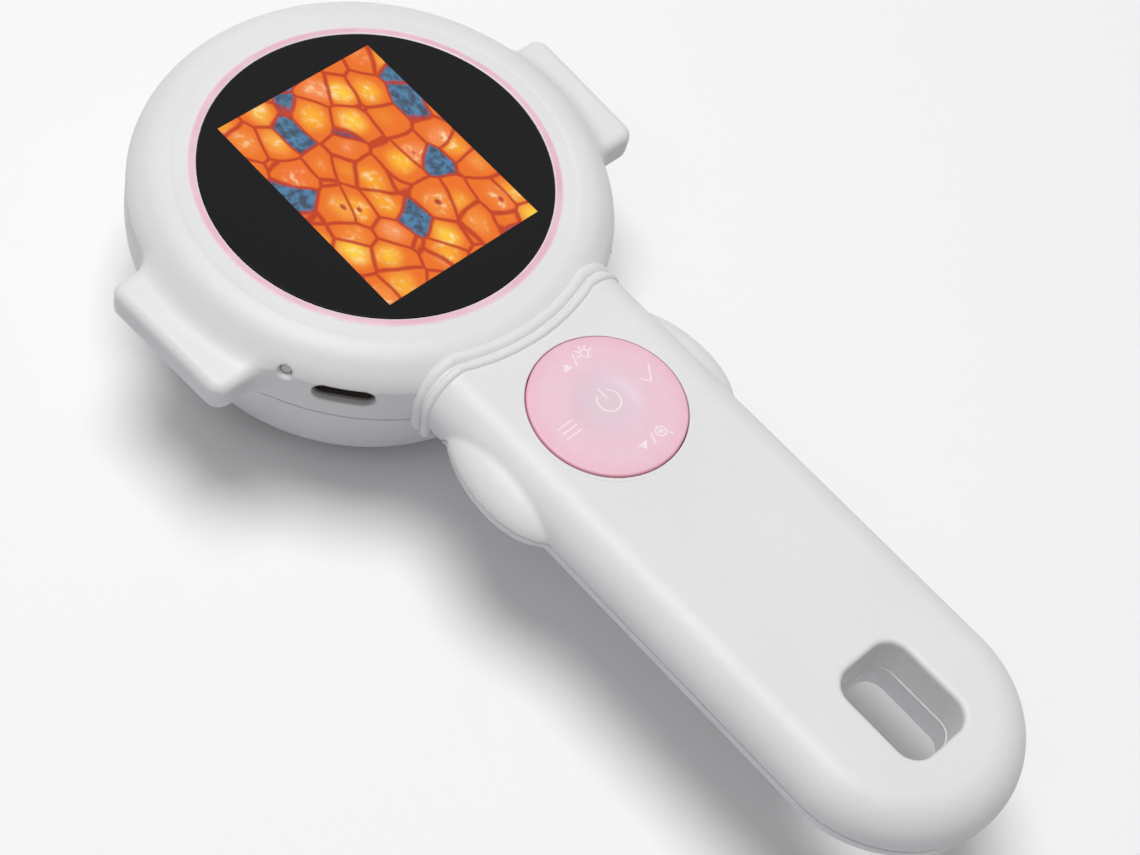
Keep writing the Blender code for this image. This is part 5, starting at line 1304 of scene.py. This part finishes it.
def lensPaint():
    paint = Paint("coatedLens", Transmission_Weight=1.0, IOR=1.52, Specular_IOR_Level=0.5,
                  Coat_Roughness=0.02)
    outward = paint.rise(paint.distanceFrom(0.0, headY), 0.001, 0.005)
    paint.set("Coat Weight", paint.noise(120.0) * 0.2 + 0.5)
    return paint.finish(paint.mix(outward, *lensGroup["tint"]),
                        (paint.noise(200.0), 0.02, 0.01))


def retainerPiece(top, c):
    # The holding ring, with two spanner notches in its lower inner edge.
    bottom = top + c["ringThick"]

    def notches(outline, angle):
        wide = np.clip((np.cos(angle) ** 2 - c["notchFrom"]) / c["notchSide"], 0, 1)[None, :]
        low = (outline[:, 1:] < -(top + bottom) / 2) & (outline[:, :1] < c["notchInside"])
        return -c["notchDepth"] * wide * low

    return turnCorners("lens_ring", [
        (c["shoulderRadius"], top, hidden), (c["lensRadius"], top, hidden),
        (c["lensRadius"], bottom, hidden), (c["shoulderRadius"], bottom, hidden)], 240,
        steps=4, ripple=notches)


def lensTops(c):
    # Depths at which the two lenses and the holding ring start.
    field = c["middle"] - c["halfShoulder"] - c["gap"] - c["crown"] - c["fieldEdge"]
    objective = c["middle"] + c["halfShoulder"] + c["gap"] + c["crown"]
    return field, objective, objective + c["objectiveEdge"] + c["gap"]


lensGlass = lensPaint()
fieldTop, objectiveTop, retainerTop = lensTops(lensGroup)
finishPiece(barrelPiece(lensGroup), "lens_group", blackPlastic, "chip", "lens_barrel")
for pinName, side in (("drive_pin_1", 1), ("drive_pin_2", -1)):
    finishPiece(pinPiece(pinName, side, lensGroup), "lens_group", blackPlastic, "chip")
finishPiece(lensPiece("field_glass", fieldTop, lensGroup["fieldEdge"]), "lens_group", lensGlass,
            "lens", "field_lens")
finishPiece(lensPiece("objective_glass", objectiveTop, lensGroup["objectiveEdge"]), "lens_group",
            lensGlass, "lens", "objective_lens")
finishPiece(retainerPiece(retainerTop, lensGroup), "lens_group",
            mouldedPaint("ringBlack", (0.030, 0.030, 0.032), 0.42), "chip", "lens_retainer")


# screws: a pan head with a cross recess on a plain shank

screws = {"shankRadius": 0.0009, "headRadius": 0.0018, "headHeight": 0.0013, "dome": 0.20,
          "gap": 0.0003, "crossLength": 0.00115, "crossHalf": 0.00028, "crossDepth": 0.00062,
          "crossRise": 0.4, "taper": 0.00014, "sides": 96, "steel": (0.50, 0.50, 0.51),
          "rings": [0.78, 0.86, 0.93], "rim": [(0.98, 0.62), (1.0, 0.45), (1.0, 0.0)],
          "point": 0.5}


def screwPiece(name, place, seat, blind, c):
    # The head's top is a function of radius and angle: a low dome less the recess, which is
    # as deep as the place is inside the nearer arm of the cross.
    angle = np.linspace(0, 2 * math.pi, c["sides"], endpoint=False)
    rings = c["headRadius"] * np.concatenate([np.linspace(0, 0.70, 24), c["rings"]])
    r, a = np.meshgrid(rings, angle, indexing="ij")
    dome = c["headHeight"] * (1 - c["dome"] * (r / c["headRadius"]) ** 2)
    u, v = np.abs(r * np.cos(a)), np.abs(r * np.sin(a))
    longWay, shortWay = np.maximum(u, v), np.minimum(u, v)
    inside = np.minimum(c["crossHalf"] - shortWay, c["crossLength"] - longWay) / c["taper"]
    height = dome - c["crossDepth"] * np.clip(inside, 0, 1) \
        * (1 - c["crossRise"] * longWay / c["crossLength"])
    rim = np.array(c["rim"]) * [c["headRadius"], c["headHeight"]]
    shank = np.array([(c["shankRadius"], 0.0),
                      (c["shankRadius"], blind - seat + c["point"] * c["shankRadius"]),
                      (0.0, blind - seat)])
    lower = np.concatenate([rim, shank])
    radii = np.concatenate([r, np.repeat(lower[:, :1], c["sides"], axis=1)])
    heights = np.concatenate([height, np.repeat(lower[:, 1:], c["sides"], axis=1)])
    loops = np.stack([place[0] + radii * np.cos(angle), headY + place[1] + radii * np.sin(angle),
                      glassZ - seat - c["gap"] - heights], axis=-1)
    return putLoops(name, loops[1:-1], loops[[0, -1], 0])


print("screws")
screwSteel = steelPaint("screwSteel", screws["steel"], (700.0, 700.0, 200.0))
for screw, (place, _, seat, blind) in enumerate(screwBosses(casing), 1):
    name = "screw_" + str(screw)
    finishPiece(screwPiece(name, place, seat, blind, screws), "casing", screwSteel, "steel",
                "case_" + name)


# what stays as the frame has it: boards, chips, ribbons, battery and switches

insides = {"mask": (0.018, 0.115, 0.052), "maskDark": (0.012, 0.080, 0.036),
           "copper": (0.050, 0.200, 0.095), "pad": (0.62, 0.50, 0.24), "traceScale": 420.0,
           "tracesPerCell": 6.0, "padScale": 300.0, "padSize": 0.16,
           "foil": ((0.50, 0.51, 0.53), (0.64, 0.65, 0.67)),
           "film": ((0.33, 0.12, 0.02), (0.42, 0.17, 0.035)), "filmLine": (0.62, 0.30, 0.10),
           "linesPerMetre": 1400.0, "panel": ((0.020, 0.021, 0.026), (0.034, 0.035, 0.042))}


def boardPaint(c):
    # Solder mask with traces: thin lines where a coarse pattern crosses a few levels.
    paint = Paint("greenBoard", Specular_IOR_Level=0.5, Coat_Weight=0.3)
    level = paint.cells(c["traceScale"], distance="MANHATTAN") * c["tracesPerCell"]
    trace = paint.lines(level, 0.10, 0.16)
    mask = paint.mix(paint.noise(120.0), c["maskDark"], c["mask"])
    mask = paint.mix(trace * 0.8, mask, c["copper"])
    pads = paint.cells(c["padScale"], randomness=0.8) < c["padSize"]
    paint.set("Metallic", pads * 0.8)
    return paint.finish(paint.mix(pads, mask, c["pad"]), (paint.noise(500.0), 0.15, 0.30),
                        (trace, 0.000020, 0.6))


def foilPaint(c):
    paint = Paint("cellFoil", Metallic=0.9)
    tone = paint.rise(paint.cells(140.0, "DISTANCE_TO_EDGE"), 0.0, 0.12)
    return paint.finish(paint.mix(tone, *c["foil"]), (paint.noise(300.0), 0.18, 0.24),
                        (tone, 0.000050, 0.5))


def flexPaint(c):
    # Amber film over copper lines that run along it.
    paint = Paint("amberFlex", Specular_IOR_Level=0.5, Coat_Weight=0.4)
    line = paint.lines(paint.parts()[0] * c["linesPerMetre"], 0.14, 0.22)
    film = paint.mix(paint.noise(200.0), *c["film"])
    return paint.finish(paint.mix(line * 0.7, film, c["filmLine"]),
                        (paint.noise(400.0), 0.15, 0.25), (line, 0.000010, 0.5))


def leadPaint(name, color):
    paint = Paint(name, Specular_IOR_Level=0.4)
    grain = paint.noise(1100.0, 2.0)
    return paint.finish(paint.mix(grain, dimmed(color, 0.8), color), (grain, 0.2, 0.40),
                        (grain, 0.000006, 0.5))


def panelPaint(c):
    paint = Paint("panelEdge", Specular_IOR_Level=0.5)
    grain = paint.noise(700.0, 2.0)
    return paint.finish(paint.mix(grain, *c["panel"]), (grain, 0.2, 0.20))


print("insides")
keyNames = ("power", "up", "down", "ok", "mode")
nodePaints = [
    (boardPaint(insides), ["main_board", "keypad_board"]),
    (mouldedPaint("lampBoardWhite", (0.74, 0.75, 0.73), 0.45), ["led_board"]),
    (blackPlastic, ["processor_chip", "image_sensor", "reset_switch", "lens_guide"]),
    (mouldedPaint("switchBlack", (0.035, 0.035, 0.038), 0.50),
     ["key_switch_" + key for key in keyNames]),
    (steelPaint("socketSteel"), ["card_socket", "guide_screw_1", "guide_screw_2",
                                 "guide_screw_3"] + ["key_plunger_" + key for key in keyNames]),
    (mouldedPaint("connectorWhite", (0.70, 0.69, 0.64), 0.45), ["battery_connector"]),
    (panelPaint(insides), ["lcd_panel"]),
    (foilPaint(insides), ["lcd_backlight", "battery_cell"]),
    (flexPaint(insides), ["display_flex", "keypad_ribbon"]),
    (mouldedPaint("matRubber", (0.46, 0.46, 0.48), 0.70, 900.0), ["keypad_mat"]),
    (clearPaint("guideClear", (0.93, 0.95, 0.96), 0.12, 400.0), ["keypad_guide"]),
    (leadPaint("redLead", (0.50, 0.020, 0.018)), ["battery_lead_red"]),
    (leadPaint("blackLead", (0.022, 0.022, 0.024)), ["battery_lead_black"]),
]
for paint, names in nodePaints:
    for name in names:
        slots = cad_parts[name].data.materials
        for index in range(len(slots)):
            slots[index] = paint.material
        if not slots:
            slots.append(paint.material)


# camera and stage

camera = {
    "place": (-0.17624, -0.1038, 0.32056),
    "right": (0.7150, -0.6733, 0.1882),
    "up": (0.5014, 0.6815, 0.5332),
    "back": (-0.4872, -0.2869, 0.8248),
    "lens": 74.21,
    "sensor": 36.0,
    "clipStart": 0.01,
}
stage = {
    "floorReach": 6.0,
    "floorLines": 25,
    "floorDrop": 0.0002,
    "floorColor": (0.980, 0.980, 0.980),
    "floorPale": (0.995, 0.995, 0.995),
    "floorBounce": (0.630, 0.615, 0.660),
    "fade": (0.25, 1.10),
    "worldStrength": 0.27,
    "white": (1.0, 1.0, 1.0),
    "black": (0.0, 0.0, 0.0),
}
# lamps: place, aim, power in watts, size
lamps = {
    "keyLamp": ((-0.02, 0.22, 1.15), (0.0, 0.0, 0.02), 9.0, 0.62),
    "fillLamp": ((-0.55, -0.10, 0.95), (0.0, 0.0, 0.02), 0.6, 0.60),
}


def linked(name, data):
    made = bpy.data.objects.new(name, data)
    bpy.context.scene.collection.objects.link(made)
    return made


def addWorld():
    world = bpy.data.worlds.new("softRoom")
    bpy.context.scene.world = world
    world.use_nodes = True
    room = Nodes(world.node_tree, "Background")
    room.set("Color", stage["white"])
    room.set("Strength", room.node("ShaderNodeMapRange", sockets={
        "Value": room.seen(), "To Min": stage["worldStrength"], "To Max": 1.0}))


def floorPaint(c):
    # Pale under the object, and giving off its own colour far from it on the rays that see
    # the background; duller on the rays that bounce.
    paint = Paint("paleFloor", Specular_IOR_Level=0.2)
    tone = paint.noise(3.0, 2.0)
    seen = paint.seen()
    fade = seen * paint.rise(paint.distanceFrom(0.0, 0.0), *c["fade"])
    pale = paint.mix(seen, c["floorBounce"], paint.mix(tone, c["floorColor"], c["floorPale"]))
    paint.set("Emission Color", paint.mix(fade, c["black"], c["floorColor"]))
    paint.set("Emission Strength", 1.0)
    return paint.finish(paint.mix(fade, pale, c["black"]), (tone, 0.1, 0.75))


def addFloor(c):
    line = np.linspace(-c["floorReach"], c["floorReach"], c["floorLines"])
    x, y = np.meshgrid(line, line, indexing="ij")
    points = np.stack([x, y, np.full(x.shape, -c["floorDrop"])], axis=-1).reshape(-1, 3)
    mesh = bpy.data.meshes.new("floor")
    faces = sheetFaces(len(line), len(line), closeColumns=False)
    mesh.from_pydata(points.tolist(), [], faces.tolist())
    if mesh.polygons[0].normal.z < 0:
        mesh.flip_normals()
    mesh.materials.append(floorPaint(c).material)
    linked("floor", mesh)


def addLamps():
    for name, (place, aim, power, size) in lamps.items():
        light = bpy.data.lights.new(name, "AREA")
        light.shape = "DISK"
        light.size = size
        light.energy = power
        toward = (Vector(aim) - Vector(place)).to_track_quat("-Z", "Y")
        linked(name, light).matrix_world = (Matrix.Translation(place)
                                            @ toward.to_matrix().to_4x4())


def addCamera(c):
    data = bpy.data.cameras.new("camera")
    data.lens = c["lens"]
    data.sensor_width = c["sensor"]
    data.sensor_fit = "HORIZONTAL"
    data.clip_start = c["clipStart"]
    eye = linked("camera", data)
    turned = Matrix([c["right"], c["up"], c["back"]]).transposed().to_4x4()
    eye.matrix_world = Matrix.Translation(c["place"]) @ turned
    bpy.context.scene.camera = eye


print("stage")
addWorld()
addFloor(stage)
addLamps()
addCamera(camera)
bpy.context.scene.view_settings.view_transform = "Standard"
